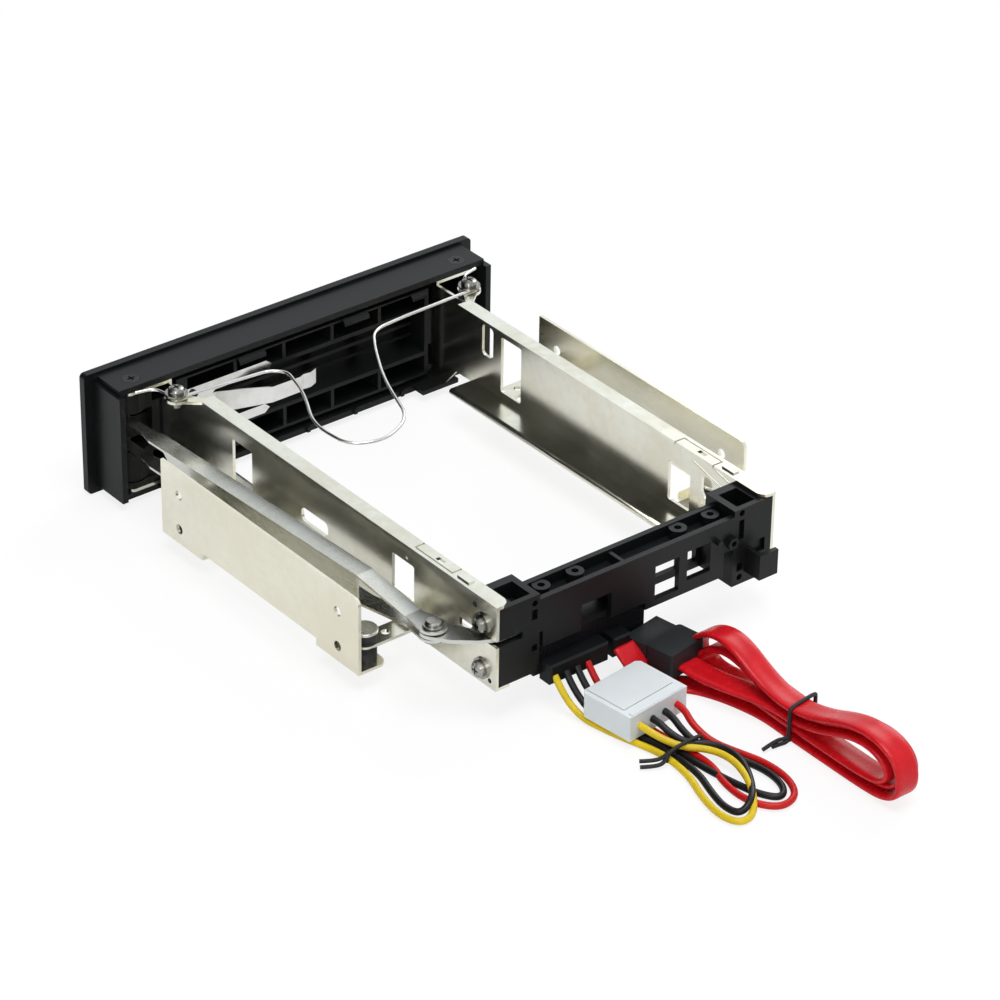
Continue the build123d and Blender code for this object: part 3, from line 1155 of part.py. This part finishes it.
# Short strand from the plug's boot into the coil
with BuildPart() as data_plug_strand:
    add(cord([(-5.6, 16.6, 6.4), (-6.4, 20.3, 5.6)], data_lead_d))
data_plug_strand.part.label = "data_plug_strand"
export_step(data_plug_strand.part, "parts/data_plug_strand.step")
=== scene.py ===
# The looks of a hot swap drive cage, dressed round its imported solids. Metres, +X to the user's
# right, +Y to the rear, +Z up. Places across, along and above the cage are in millimetres.
import json
import math

import bmesh
import bpy
from mathutils import Matrix, Quaternion, Vector


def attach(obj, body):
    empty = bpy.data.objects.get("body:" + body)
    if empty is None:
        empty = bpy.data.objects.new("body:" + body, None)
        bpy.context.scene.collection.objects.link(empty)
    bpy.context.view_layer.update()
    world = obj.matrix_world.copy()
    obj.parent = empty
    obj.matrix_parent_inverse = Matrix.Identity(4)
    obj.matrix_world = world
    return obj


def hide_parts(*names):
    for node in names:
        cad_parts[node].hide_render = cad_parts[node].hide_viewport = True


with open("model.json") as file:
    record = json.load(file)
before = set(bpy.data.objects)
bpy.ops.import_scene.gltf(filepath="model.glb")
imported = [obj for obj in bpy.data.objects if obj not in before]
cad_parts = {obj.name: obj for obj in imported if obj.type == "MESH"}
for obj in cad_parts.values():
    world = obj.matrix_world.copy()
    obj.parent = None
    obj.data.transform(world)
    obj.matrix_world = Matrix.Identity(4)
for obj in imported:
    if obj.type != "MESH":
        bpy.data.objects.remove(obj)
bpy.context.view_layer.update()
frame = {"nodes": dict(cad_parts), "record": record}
nodes = frame["nodes"]
# The rear face of the bezel's flange. Places along the cage are depths behind it.
bezel_face = frame["record"]["mounts"][2]["pos_m"][1]


def at(x, depth, z):
    """A place in millimetres, as a point of the row frame in metres."""
    return Vector((x / 1000, bezel_face + depth / 1000, z / 1000))


# The camera stands well back behind the cage's right side and looks down on it. Its long lens
# keeps the rails nearly parallel.
camera_azimuth = 141.119
camera_elevation = 31.579
camera_roll = 0.922
camera_place = at(692.85, 968.51, 702.76)
camera_lens = 157.1

azimuth = math.radians(camera_azimuth)
elevation = math.radians(camera_elevation)
backwards = Vector((math.sin(azimuth) * math.cos(elevation), -math.cos(azimuth) * math.cos(elevation),
                    math.sin(elevation)))
camera_data = bpy.data.cameras.new("camera")
camera_data.lens = camera_lens
camera_data.sensor_width = 36
camera_data.clip_start = 0.1
camera_data.clip_end = 20
camera = bpy.data.objects.new("camera", camera_data)
camera.location = camera_place
camera.rotation_mode = "QUATERNION"
camera.rotation_quaternion = (backwards.to_track_quat("Z", "Y")
                              @ Quaternion((0, 0, 1), math.radians(camera_roll)))
bpy.context.scene.collection.objects.link(camera)
bpy.context.scene.camera = camera
bpy.context.scene.view_settings.view_transform = "Standard"


# The table is a white sweep. It shows white to the camera and in the plated steel, and keeps the
# cage's soft shadow. This section also holds the class that every finish is written with.
class Signal:
    """One socket in a material's tree, so that shader maths reads as arithmetic."""

    def __init__(self, tree, socket):
        self.tree = tree
        self.socket = socket

    def node(self, kind, settings=None, inputs=None, output=0):
        """Adds a node: its settings first, then the values or links of its sockets."""
        made = self.tree.nodes.new(kind)
        for name, value in (settings or {}).items():
            setattr(made, name, value)
        for name, value in (inputs or {}).items():
            if isinstance(value, Signal):
                self.tree.links.new(value.socket, made.inputs[name])
            else:
                made.inputs[name].default_value = value
        return Signal(self.tree, made.outputs[output])

    def maths(self, operation, *values):
        return self.node("ShaderNodeMath", {"operation": operation}, dict(enumerate(values)))

    def __add__(self, other):
        return self.maths("ADD", self, other)

    def __mul__(self, other):
        return self.maths("MULTIPLY", self, other)

    def __rsub__(self, other):
        return self.maths("SUBTRACT", other, self)

    def clamped(self):
        return self.maths("MINIMUM", self.maths("MAXIMUM", self, 0.0), 1.0)

    def step(self, low, high):
        """0 below low, 1 above high and smooth between them."""
        return self.node("ShaderNodeMapRange", {"interpolation_type": "SMOOTHSTEP"},
                         {"Value": self, "From Min": low, "From Max": high})

    def noise(self, scale, detail=2.0, stretch=(1, 1, 1), rough=0.5):
        """Noise at so many lumps to the metre, drawn out along the axes with a small stretch."""
        drawn = self.node("ShaderNodeMapping", None, {"Vector": self, "Scale": stretch})
        return self.node("ShaderNodeTexNoise", None,
                         {"Vector": drawn, "Scale": scale, "Detail": detail, "Roughness": rough})

    def blend(self, first, second):
        """A colour that goes from the first to the second as this value goes from 0 to 1."""
        colours = {6: first, 7: second}
        values = {n: c if isinstance(c, Signal) else (*c, 1) for n, c in colours.items()}
        return self.node("ShaderNodeMix", {"data_type": "RGBA"}, {0: self, **values}, output=2)


def finish(name, fixed=None):
    """A new material, its shader with the fixed sockets set, and the place on the surface in metres."""
    material = bpy.data.materials.new(name)
    material.use_nodes = True
    tree = material.node_tree
    shader = tree.nodes["Principled BSDF"]
    for socket, value in (fixed or {}).items():
        shader.inputs[socket].default_value = value
    place = Signal(tree, None).node("ShaderNodeTexCoord", output=3)
    return material, shader, place


def feed(shader, **signals):
    """Links signals to the shader's sockets; an underscore in a name stands for a space."""
    for name, signal in signals.items():
        signal.tree.links.new(signal.socket, shader.inputs[name.replace("_", " ")])


def bumped(height, strength, distance):
    """A normal from a height, with the height's full swing worth a distance in metres."""
    return height.node("ShaderNodeBump", None,
                       {"Height": height, "Strength": strength, "Distance": distance})


def ray_kinds(tree):
    """Signals that are 1 for what the camera sees, what a mirror shows and what shows through."""
    rays = tree.nodes.new("ShaderNodeLightPath")
    return [Signal(tree, rays.outputs[kind])
            for kind in ("Is Camera Ray", "Is Glossy Ray", "Is Transmission Ray")]


table_colour = (0.93, 0.93, 0.93)
table_reach = 6.0
table_level = -0.0002
glow_strength = 1.03
# How much of the table is plain white to the camera, and in a mirror
shown_white = 0.8
mirrored_white = 0.15
table_mesh = bpy.data.meshes.new("table")
table_mesh.from_pydata([(x * table_reach, y * table_reach, table_level)
                        for x, y in ((-1, -1), (1, -1), (1, 1), (-1, 1))], [], [(0, 1, 2, 3)])
table = bpy.data.objects.new("table", table_mesh)
bpy.context.scene.collection.objects.link(table)
table_finish, table_shader, place = finish("white_sweep", {"Roughness": 0.9, "Specular IOR Level": 0.1})
table_shader.inputs["Base Color"].default_value = (*table_colour, 1)
tree = table_finish.node_tree
seen, mirrored, through = ray_kinds(tree)
glow = tree.nodes.new("ShaderNodeEmission")
glow.inputs["Strength"].default_value = glow_strength
lit = tree.nodes.new("ShaderNodeMixShader")
direct = (seen * shown_white + mirrored * mirrored_white + through * shown_white).clamped()
tree.links.new(direct.socket, lit.inputs[0])
tree.links.new(table_shader.outputs[0], lit.inputs[1])
tree.links.new(glow.outputs[0], lit.inputs[2])
tree.links.new(lit.outputs[0], tree.nodes["Material Output"].inputs["Surface"])
table.data.materials.append(table_finish)

# The studio is a white room that is dark at the front right, where nothing lights it. Three soft
# lights stand in it: one overhead, a wide one on the left and a weak one behind the camera.
room_colour = (0.94, 0.98, 1.0)
# The light that the room gives, and what it adds where the camera or a mirror shows it
room_strength = 0.45
shown_strength = 0.5
# Where it is dark: the direction, how near to it the dark starts and is full, and how dark it is
dark_side = (0.53, -0.66, 0.53)
dark_start = 0.6
dark_full = 0.9
dark_share = 0.98
world = bpy.data.worlds.new("studio")
bpy.context.scene.world = world
world.use_nodes = True
room = world.node_tree
air = room.nodes["Background"]
air.inputs["Color"].default_value = (*room_colour, 1)
seen, mirrored, through = ray_kinds(room)
looking = Signal(room, room.nodes.new("ShaderNodeTexCoord").outputs["Generated"])
unlit = looking.node("ShaderNodeVectorMath", {"operation": "DOT_PRODUCT"},
                     {0: looking, 1: dark_side}, output=1).step(dark_start, dark_full)
room_light = (seen + mirrored + through).clamped() * shown_strength + room_strength
room.links.new((room_light * (1 - unlit * dark_share)).socket, air.inputs["Strength"])

# Name, place and width in metres, and power in watts
lamps = (("overhead", (0.1, 0.3, 1.5), 1.0, 13.0),
         ("left_side", (-1.3, -0.5, 0.9), 1.1, 8.0),
         ("behind", (1.3, 1.2, 0.9), 0.7, 5.0))
for name, spot, size, power in lamps:
    lamp_data = bpy.data.lights.new(name, "AREA")
    lamp_data.shape = "DISK"
    lamp_data.size = size
    lamp_data.energy = power
    lamp = bpy.data.objects.new(name, lamp_data)
    lamp.location = spot
    lamp.rotation_mode = "QUATERNION"
    lamp.rotation_quaternion = Vector(spot).to_track_quat("Z", "Y")
    bpy.context.scene.collection.objects.link(lamp)


# The four power wires are stranded copper in soft vinyl: yellow, two black and red. Each leaves the
# receptacle's overmoulded back, runs under the white connector, is folded back in one flat loop
# through the tie and ends in the connector.
def vinyl(name, colour, rough=0.34, print_depth=0.00004):
    """Soft vinyl with a faint strand pattern, a little mottling and a soft gloss."""
    material, shader, place = finish(name, {"Specular IOR Level": 0.25})
    mottle = place.noise(260, 3)
    dark = tuple(c * 0.9 for c in colour)
    feed(shader, Base_Color=mottle.step(0.35, 0.7).blend(dark, colour),
         Roughness=mottle * 0.2 + (rough - 0.1),
         Normal=bumped(place.noise(900, 2), 0.5, print_depth))
    return material


wire_diameter = 0.0021
wire_exits = (32.4, 28.4, 24.4, 20.4)
wire_lanes = (25.4, 23.1, 20.8, 18.5)
wire_colours = (("yellow", (0.8, 0.58, 0.02)), ("black_inner", (0.012, 0.012, 0.013)),
                ("black_outer", (0.012, 0.012, 0.013)), ("red", (0.62, 0.012, 0.012)))
# Where every cable leaves the receptacle: distance behind the bezel, and height
boot_back = 175.5
boot_height = 10.3
# The two layers that the wires lie in
low = 1.2
high = 3.5
# Each loop from the tie, out to the far end and back through the tie to the connector
wire_loops = (
    [(24.6, 217.5, low), (25.6, 227, low), (29.4, 237, low), (31.2, 246.5, low), (29.0, 252.6, low),
     (23.6, 252.0, low), (18.6, 246.0, high), (14.6, 238, high), (12.8, 230, high), (14.6, 223, high),
     (20.2, 217.5, high), (23.2, 212, 4.6)],
    [(22.3, 217.5, low), (22.8, 228, low), (25.6, 236, low), (27.6, 244, low), (26.2, 249.4, low),
     (21.6, 248.8, high), (16.4, 243.0, high), (11.6, 234.5, high), (10.4, 227, high), (13.0, 220.6, high),
     (18.0, 216.5, high), (19.6, 211.5, 4.6)],
    [(20.0, 217.5, low), (19.8, 226, low), (18.0, 236.5, low), (16.0, 245, low), (12.2, 250.6, low),
     (8.2, 247.4, low), (6.6, 240, low), (8.0, 232, low), (11.8, 224.6, low + 0.8),
     (15.6, 217.5, high - 0.4), (15.6, 211.5, 4.6)],
    [(17.7, 217.5, low), (17.0, 227, low), (20.4, 236, low), (20.6, 246.5, low), (15.4, 254.0, low),
     (8.0, 252.4, low), (4.2, 244.5, low), (4.4, 234.5, low), (7.4, 226, low), (10.6, 218.5, low + 0.8),
     (11.6, 211.5, 4.6)])
connector_middle = (19.2, 195.0, 6.7)
connector_turn = math.radians(7)
way_pitch = 5.08


def in_connector(across, along, up):
    """A place given across, along and above the middle of the white connector, in millimetres."""
    turn = connector_turn
    return (connector_middle[0] + across * math.cos(turn) - along * math.sin(turn),
            connector_middle[1] + across * math.sin(turn) + along * math.cos(turn),
            connector_middle[2] + up)


def cord_line(name, route, radius=0.0, closed=False, steps=10, rounding=5):
    """A smooth curve with the route's points as its control points, and a round section if asked."""
    data = bpy.data.curves.new(name, "CURVE")
    data.dimensions = "3D"
    data.resolution_u = steps
    data.bevel_depth = radius
    data.bevel_resolution = rounding
    data.use_fill_caps = True
    line = data.splines.new("NURBS")
    line.points.add(len(route) - 1)
    for point, where in zip(line.points, route):
        point.co = (*at(*where), 1)
    line.order_u = 3
    line.use_cyclic_u = closed
    line.use_endpoint_u = not closed
    made = bpy.data.objects.new(name, data)
    bpy.context.scene.collection.objects.link(made)
    return made


for index, (word, colour) in enumerate(wire_colours):
    exit_x = wire_exits[index]
    lane_x = wire_lanes[index]
    way = (1.5 - index) * way_pitch
    route = [(exit_x, boot_back, boot_height), (exit_x - 0.3, 182.3, low),
             ((exit_x + lane_x) / 2 + 0.4, 198.0, low), (lane_x, 211.0, low), *wire_loops[index],
             in_connector(way, 12.4, -0.4), in_connector(way, 9.2, -0.2)]
    wire = cord_line("power_wire_" + word, route, wire_diameter / 2)
    wire.data.materials.append(vinyl("vinyl_" + word, colour))
    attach(wire, "cage")
    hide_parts("power_lead", "power_hank", "power_return")
    at(*route[0])

# The data cable is one flat red ribbon of two cores side by side. It lies flat all along: down from
# the receptacle's back, through its tie, three times round the far loop and twice round the near
# one, which stand on the table one strand on another, and back to its plug.
ribbon_width = 0.008
ribbon_thickness = 0.00175
# Heights of the strands that lie on each other in the tie, from the table up
lie = 0.9
strand_step = 1.82
levels = [lie + strand_step * n for n in range(6)]
ribbon_route = [
    (6.8, boot_back, boot_height), (6.6, 179.4, 7.6), (5.0, 183.4, 2.4), (1.0, 187.6, lie),
    (-4.6, 192.0, lie), (-8.4, 198.6, lie), (-11.2, 207.0, lie), (-13.2, 217.0, lie)]
# Distance behind the bezel and height along each turn: far loops outward first, near loops between
turns = [
    [(229, levels[0]), (245, levels[0]), (258, levels[0]), (267.5, 1.5), (273.0, 4.4), (274.1, 10.2),
     (271.4, 16.0), (264.4, 18.9), (256, 18.7), (248, 16.2), (240, 12.6), (230, levels[5])],
    [(221, 10.3), (212.5, 12.8), (205, 16.2), (198.4, 17.4), (191, 15.6), (185.2, 10.8), (183.6, 5.4),
     (187, 1.6), (192.5, 1.1), (199.5, 2.6), (209, levels[1]), (220, levels[1]), (229, levels[1])],
    [(245, levels[1]), (257, levels[1]), (265.8, 3.4), (270.6, 6.0), (271.6, 10.3), (269.4, 14.5),
     (263.6, 17.0), (256.2, 16.8), (248.4, 14.3), (240.4, 10.8), (230, levels[4])],
    [(221, 8.3), (213, 9.3), (206, 12.0), (199.2, 12.9), (192.6, 10.8), (188.2, 7.2), (188.4, 4.0),
     (193.5, 3.3), (200.5, 4.5), (210, levels[2]), (220, levels[2]), (229, levels[2])],
    [(244.5, levels[2]), (255.5, levels[2]), (263.6, 5.2), (268.2, 7.4), (269.2, 10.3), (267.2, 13.1),
     (262.6, 15.0), (256.2, 14.9), (248.8, 12.5), (240.8, 9.0), (230, levels[3])]]
# The strands don't lie quite in line: where each turn starts and ends across the cage
right = -12.9
left = -15.1
slips = [(right, right), (right, left), (left, left), (left, right), (right, right)]
for turn, (first, last) in zip(turns, slips):
    ribbon_route += [(first + (last - first) * n / (len(turn) - 1), depth, height)
                     for n, (depth, height) in enumerate(turn)]
ribbon_route += [(-13.0, 223.0, 6.4), (-11.8, 216.5, 6.5), (-9.4, 209.6, 6.6), (-7.2, 203.0, 6.5),
                 (-6.1, 197.0, 6.3), (-5.7, 192.6, 6.3), (-5.6, 189.4, 6.4)]


def sampled(line):
    """The points of a curve that has no section, in metres."""
    mesh = bpy.data.meshes.new_from_object(line)
    points = [vertex.co.copy() for vertex in mesh.vertices]
    bpy.data.meshes.remove(mesh)
    return points


def flattened(value, power):
    """A sine or cosine drawn towards its ends, which makes a circle squarer."""
    return math.copysign(abs(value) ** power, value)


def ribbon_section():
    """Two soft lobes side by side: a closed outline across the ribbon, width first."""
    lobe = ribbon_width / 4
    lobe_arc = 230
    lobe_steps = 14
    outline = []
    for side in (1, -1):
        for step in range(lobe_steps + 1):
            angle = math.radians(lobe_arc * (step / lobe_steps - 0.5) + (0 if side > 0 else 180))
            wide = side * lobe + flattened(math.cos(angle), 0.75) * lobe
            thick = flattened(math.sin(angle), 0.6) * ribbon_thickness / 2
            outline.append((wide, thick))
    return outline


def mesh_object(name, mesh, smooth):
    """Puts a built mesh in the scene as an object, with its faces shaded round or flat."""
    data = bpy.data.meshes.new(name)
    mesh.to_mesh(data)
    mesh.free()
    for face in data.polygons:
        face.use_smooth = smooth
    made = bpy.data.objects.new(name, data)
    bpy.context.scene.collection.objects.link(made)
    return made


def ribbon_mesh(name, points, section):
    """Sweeps the section along the points, with its width level all along."""
    mesh = bmesh.new()
    rings = []
    for index, point in enumerate(points):
        along = (points[min(index + 1, len(points) - 1)] - points[max(index - 1, 0)]).normalized()
        wide = (Vector((1, 0, 0)) - along * along.x).normalized()
        thick = along.cross(wide)
        rings.append([mesh.verts.new(point + wide * w + thick * t) for w, t in section])
    for first, second in zip(rings, rings[1:]):
        for index in range(len(section)):
            after = (index + 1) % len(section)
            mesh.faces.new((first[index], first[after], second[after], second[index]))
    mesh.faces.new(rings[0])
    mesh.faces.new(rings[-1])
    bmesh.ops.recalc_face_normals(mesh, faces=mesh.faces)
    return mesh_object(name, mesh, True)


centre_line = cord_line("ribbon_line", ribbon_route)
ribbon_points = sampled(centre_line)
bpy.data.objects.remove(centre_line)
ribbon = ribbon_mesh("data_ribbon", ribbon_points, ribbon_section())
ribbon.data.materials.append(vinyl("vinyl_ribbon", (0.68, 0.01, 0.018), rough=0.26, print_depth=0.00002))
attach(ribbon, "cage")
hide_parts("data_cable_lead", "data_cable_coil", "data_plug_strand")

# The ties are short paper covered wires, twisted once round each waist, with two loose ends that lie
# on the table.
tie_radius = 0.0006


def tie(name, ring, ends):
    """A closed band of wire round a waist and its two twisted ends, made as one piece."""
    parts = [cord_line(f"{name}_{index}", route, tie_radius, closed=route is ring, steps=12, rounding=3)
             for index, route in enumerate([ring, *ends])]
    mesh = bmesh.new()
    for part in parts:
        data = bpy.data.meshes.new_from_object(part)
        mesh.from_mesh(data)
        bpy.data.meshes.remove(data)
        bpy.data.objects.remove(part)
    made = mesh_object(name, mesh, True)
    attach(made, "cage")
    return made


paper, shader, place = finish("tie_cover", {"Specular IOR Level": 0.3})
weave = place.noise(1400, 3)
feed(shader, Base_Color=weave.blend((0.008, 0.008, 0.009), (0.03, 0.03, 0.032)),
     Roughness=weave * 0.2 + 0.45, Normal=bumped(weave, 0.6, 0.00006))

power_tie = tie("power_twist_tie",
                [(12.6, 217.4, 2.4), (13.6, 217.8, 4.9), (17.0, 218.0, 5.2), (21.0, 218.2, 5.2),
                 (25.6, 218.2, 4.4), (26.6, 218.0, 2.2), (25.4, 217.6, 0.65), (20.0, 217.4, 0.65),
                 (14.2, 217.2, 0.65)],
                [[(25.2, 218.0, 4.4), (27.0, 217.6, 2.8), (29.6, 216.0, 1.9), (32.6, 213.6, 1.7)],
                 [(25.8, 218.2, 3.8), (27.2, 218.4, 1.6), (30.0, 217.4, 0.9), (33.4, 215.0, 0.8)]])
power_tie.data.materials.append(paper)
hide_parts("power_tie")

data_tie = tie("data_twist_tie",
               [(-8.3, 230.4, 5.6), (-8.3, 230.4, 10.4), (-8.7, 230.2, 11.5), (-14.0, 229.4, 11.6),
                (-19.4, 228.6, 11.5), (-19.8, 228.4, 10.4), (-19.8, 228.4, 5.6), (-19.8, 228.4, 1.0),
                (-19.0, 228.6, 0.62), (-14.0, 229.4, 0.62), (-8.9, 230.2, 0.62), (-8.3, 230.4, 1.2)],
               [[(-8.6, 230.4, 2.4), (-7.2, 230.2, 1.8), (-4.6, 229.4, 2.0), (0.6, 229.6, 1.0)],
                [(-8.6, 230.6, 1.6), (-7.0, 230.8, 0.9), (-5.2, 230.2, 0.8), (-2.6, 230.0, 0.8)]])
data_tie.data.materials.append(paper)
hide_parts("data_cable_tie")


# The white connector is a natural nylon moulding with four round ways, two cut corners, and a rib
# and a low pad on its top. Its pins are plated and crimped to the wires.
def dress(material, *names):
    """Gives CAD nodes their finish."""
    for name in names:
        mesh = nodes[name].data
        mesh.materials.clear()
        mesh.materials.append(material)


nylon, shader, place = finish("white_nylon", {"Subsurface Weight": 0.25, "Subsurface Scale": 0.0015,
                                              "Subsurface Radius": (1.0, 0.97, 0.95),
                                              "Specular IOR Level": 0.5})
cloud = place.noise(120, 3)
feed(shader, Base_Color=cloud.blend((0.74, 0.79, 0.81), (0.83, 0.87, 0.89)), Roughness=cloud * 0.16 + 0.26,
     Normal=bumped(place.noise(700, 2), 0.4, 0.00004))
dress(nylon, "power_connector")


def blocks(name, boxes, turn, bevel=0.15):
    """Bevelled blocks given by low and high corners in millimetres, as one piece."""
    mesh = bmesh.new()
    for low_corner, high_corner in boxes:
        size = [b - a for a, b in zip(low_corner, high_corner)]
        middle = [(a + b) / 2 for a, b in zip(low_corner, high_corner)]
        placed = Matrix.Translation(Vector(middle) / 1000) @ Matrix.Diagonal((*[s / 1000 for s in size], 1))
        bmesh.ops.create_cube(mesh, size=1, matrix=turn @ placed)
    bmesh.ops.bevel(mesh, geom=mesh.edges[:], offset=bevel / 1000, segments=2, affect="EDGES",
                    clamp_overlap=True)
    return mesh_object(name, mesh, False)


connector_frame = Matrix.Translation(at(*connector_middle)) @ Matrix.Rotation(connector_turn, 4, "Z")
rib_boxes = [((-10.6, 7.6, 3.9), (10.6, 9.3, 4.35)), ((-10.2, -9.2, 3.9), (10.2, 5.6, 4.2))]
connector_ribs = blocks("connector_ribs", rib_boxes, connector_frame)
connector_ribs.data.materials.append(nylon)
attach(connector_ribs, "cage")


# Black mouldings: bezel, door, latch and rear bracket are one fine grained engineering plastic with
# a low sheen, a little greyer in patches.
def moulding(name, colour, rough, grain=0.00005):
    """Black plastic, with the depth of its grain in metres."""
    material, shader, place = finish(name, {"Specular IOR Level": 0.2})
    fine = place.noise(2600, 3)
    broad = place.noise(45, 2)
    worn = tuple(c * 1.7 for c in colour)
    feed(shader, Base_Color=(broad * 0.5 + fine * 0.4).step(0.3, 0.75).blend(colour, worn),
         Roughness=broad * 0.14 + fine * 0.12 + (rough - 0.13), Normal=bumped(fine, 0.45, grain))
    return material


black_moulding = moulding("black_moulding", (0.006, 0.0065, 0.007), 0.38)
dress(black_moulding, "bezel_frame", "front_door", "rear_bracket", "power_boot", "data_boot")
dress(moulding("latch_moulding", (0.008, 0.0085, 0.009), 0.36, 0.00003), "door_latch")
dress(moulding("receptacle_moulding", (0.006, 0.006, 0.007), 0.25, 0.00002), "sata_receptacle")
dress(moulding("plug_moulding", (0.022, 0.024, 0.026), 0.38), "data_cable_plug")
dress(moulding("plug_boot_moulding", (0.018, 0.02, 0.022), 0.45), "data_plug_boot")


# Plated sheet: rails, side plates, link and lever are pressed from cold rolled steel and nickel
# plated, and the mounts' studs are plated alike. The plating is pale and warm, with faint rolling
# lines and cloudy patches.
def plated(name, pale, warm, rough, lines=(1, 0.04, 1), cloudy=1.0):
    """Plated steel, with how the rolling lines are drawn out and how much the sheen is clouded."""
    material, shader, place = finish(name, {"Metallic": 1.0})
    cloud = place.noise(38, 4, rough=0.6)
    spots = place.noise(420, 3)
    rolled = place.noise(2400, 2, lines)
    patches = (cloud * 0.75 + spots * 0.25).step(0.36, 0.66)
    feed(shader, Base_Color=patches.blend(warm, pale),
         Roughness=cloud * (0.16 * cloudy) + rolled * 0.1 + (rough - 0.13),
         Normal=bumped(rolled * 0.7 + spots * 0.5, 0.4, 0.000012))
    return material


rail_plating = plated("rail_plating", (0.85, 0.85, 0.77), (0.76, 0.73, 0.61), 0.22)
plate_plating = plated("plate_plating", (0.89, 0.87, 0.745), (0.83, 0.79, 0.65), 0.24)
link_plating = plated("link_plating", (0.70, 0.705, 0.67), (0.60, 0.595, 0.54), 0.28)
dress(rail_plating, "rail_right", "rail_left")
dress(plate_plating, "mount_plate_right", "mount_plate_left")
dress(link_plating, "ejector_link", "ejector_lever", "mount_studs")

# The rails' ledges carry the drive. Each ends in a small rounded bead, where the plated sheet is
# folded down along its free edge.
bead_radius = 0.001
bead_start = 31.8
bead_end = 169.5
bead_side = 42.1
bead_height = 11.1
bead_mesh = bmesh.new()
for side in (-bead_side, bead_side):
    middle = at(side, (bead_start + bead_end) / 2, bead_height)
    bmesh.ops.create_cone(bead_mesh, cap_ends=True, segments=32, radius1=bead_radius, radius2=bead_radius,
                          depth=(bead_end - bead_start) / 1000,
                          matrix=Matrix.Translation(middle) @ Matrix.Rotation(math.pi / 2, 4, "X"))
ledge_beads = mesh_object("ledge_beads", bead_mesh, True)
for face in ledge_beads.data.polygons:
    face.use_smooth = len(face.vertices) == 4
ledge_beads.data.materials.append(rail_plating)
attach(ledge_beads, "cage")

# Bright steel: the wire spring and the spring plate are drawn and rolled stock, the pins, rivet and
# screws are turned or headed and zinc plated.
drawn = plated("drawn_steel", (0.84, 0.83, 0.82), (0.66, 0.65, 0.63), 0.20, lines=(0.3, 0.3, 1), cloudy=0.5)
headed = plated("headed_steel", (0.44, 0.43, 0.40), (0.24, 0.235, 0.215), 0.25, cloudy=0.6)
dress(drawn, "retaining_wire", "door_spring_plate", "hinge_pin")
dress(headed, "wire_screws", "bracket_screws", "link_rivet", "crank_pin", "lever_fulcrum_pin", "power_pins")

# The two countersunk screws in the bezel's top are black oxide steel, a little brighter where the
# oxide is rubbed.
oxide, shader, place = finish("black_oxide", {"Metallic": 0.9})
rubbed = place.noise(700, 3)
feed(shader, Base_Color=rubbed.blend((0.012, 0.012, 0.013), (0.06, 0.06, 0.062)),
     Roughness=rubbed * 0.2 + 0.3)
dress(oxide, "bezel_screws")

# The mounts' bushes are black rubber, matt with a light bloom. They sit above and below the rails'
# lugs, on the studs.
rubber, shader, place = finish("bush_rubber", {"Specular IOR Level": 0.3})
bloom = place.noise(320, 4)
feed(shader, Base_Color=bloom.step(0.4, 0.75).blend((0.014, 0.014, 0.014), (0.05, 0.05, 0.05)),
     Roughness=bloom * 0.15 + 0.6, Normal=bumped(place.noise(1500, 2), 0.5, 0.00006))
dress(rubber, "rubber_mounts")

# The receptacle's contacts are thin springs of copper alloy with a gold plating, pressed into the
# moulding.
gold, shader, place = finish("contact_gold", {"Metallic": 1.0})
shine = place.noise(900, 2)
feed(shader, Base_Color=shine.blend((0.80, 0.56, 0.18), (0.92, 0.72, 0.34)), Roughness=shine * 0.12 + 0.18)
dress(gold, "receptacle_contacts")
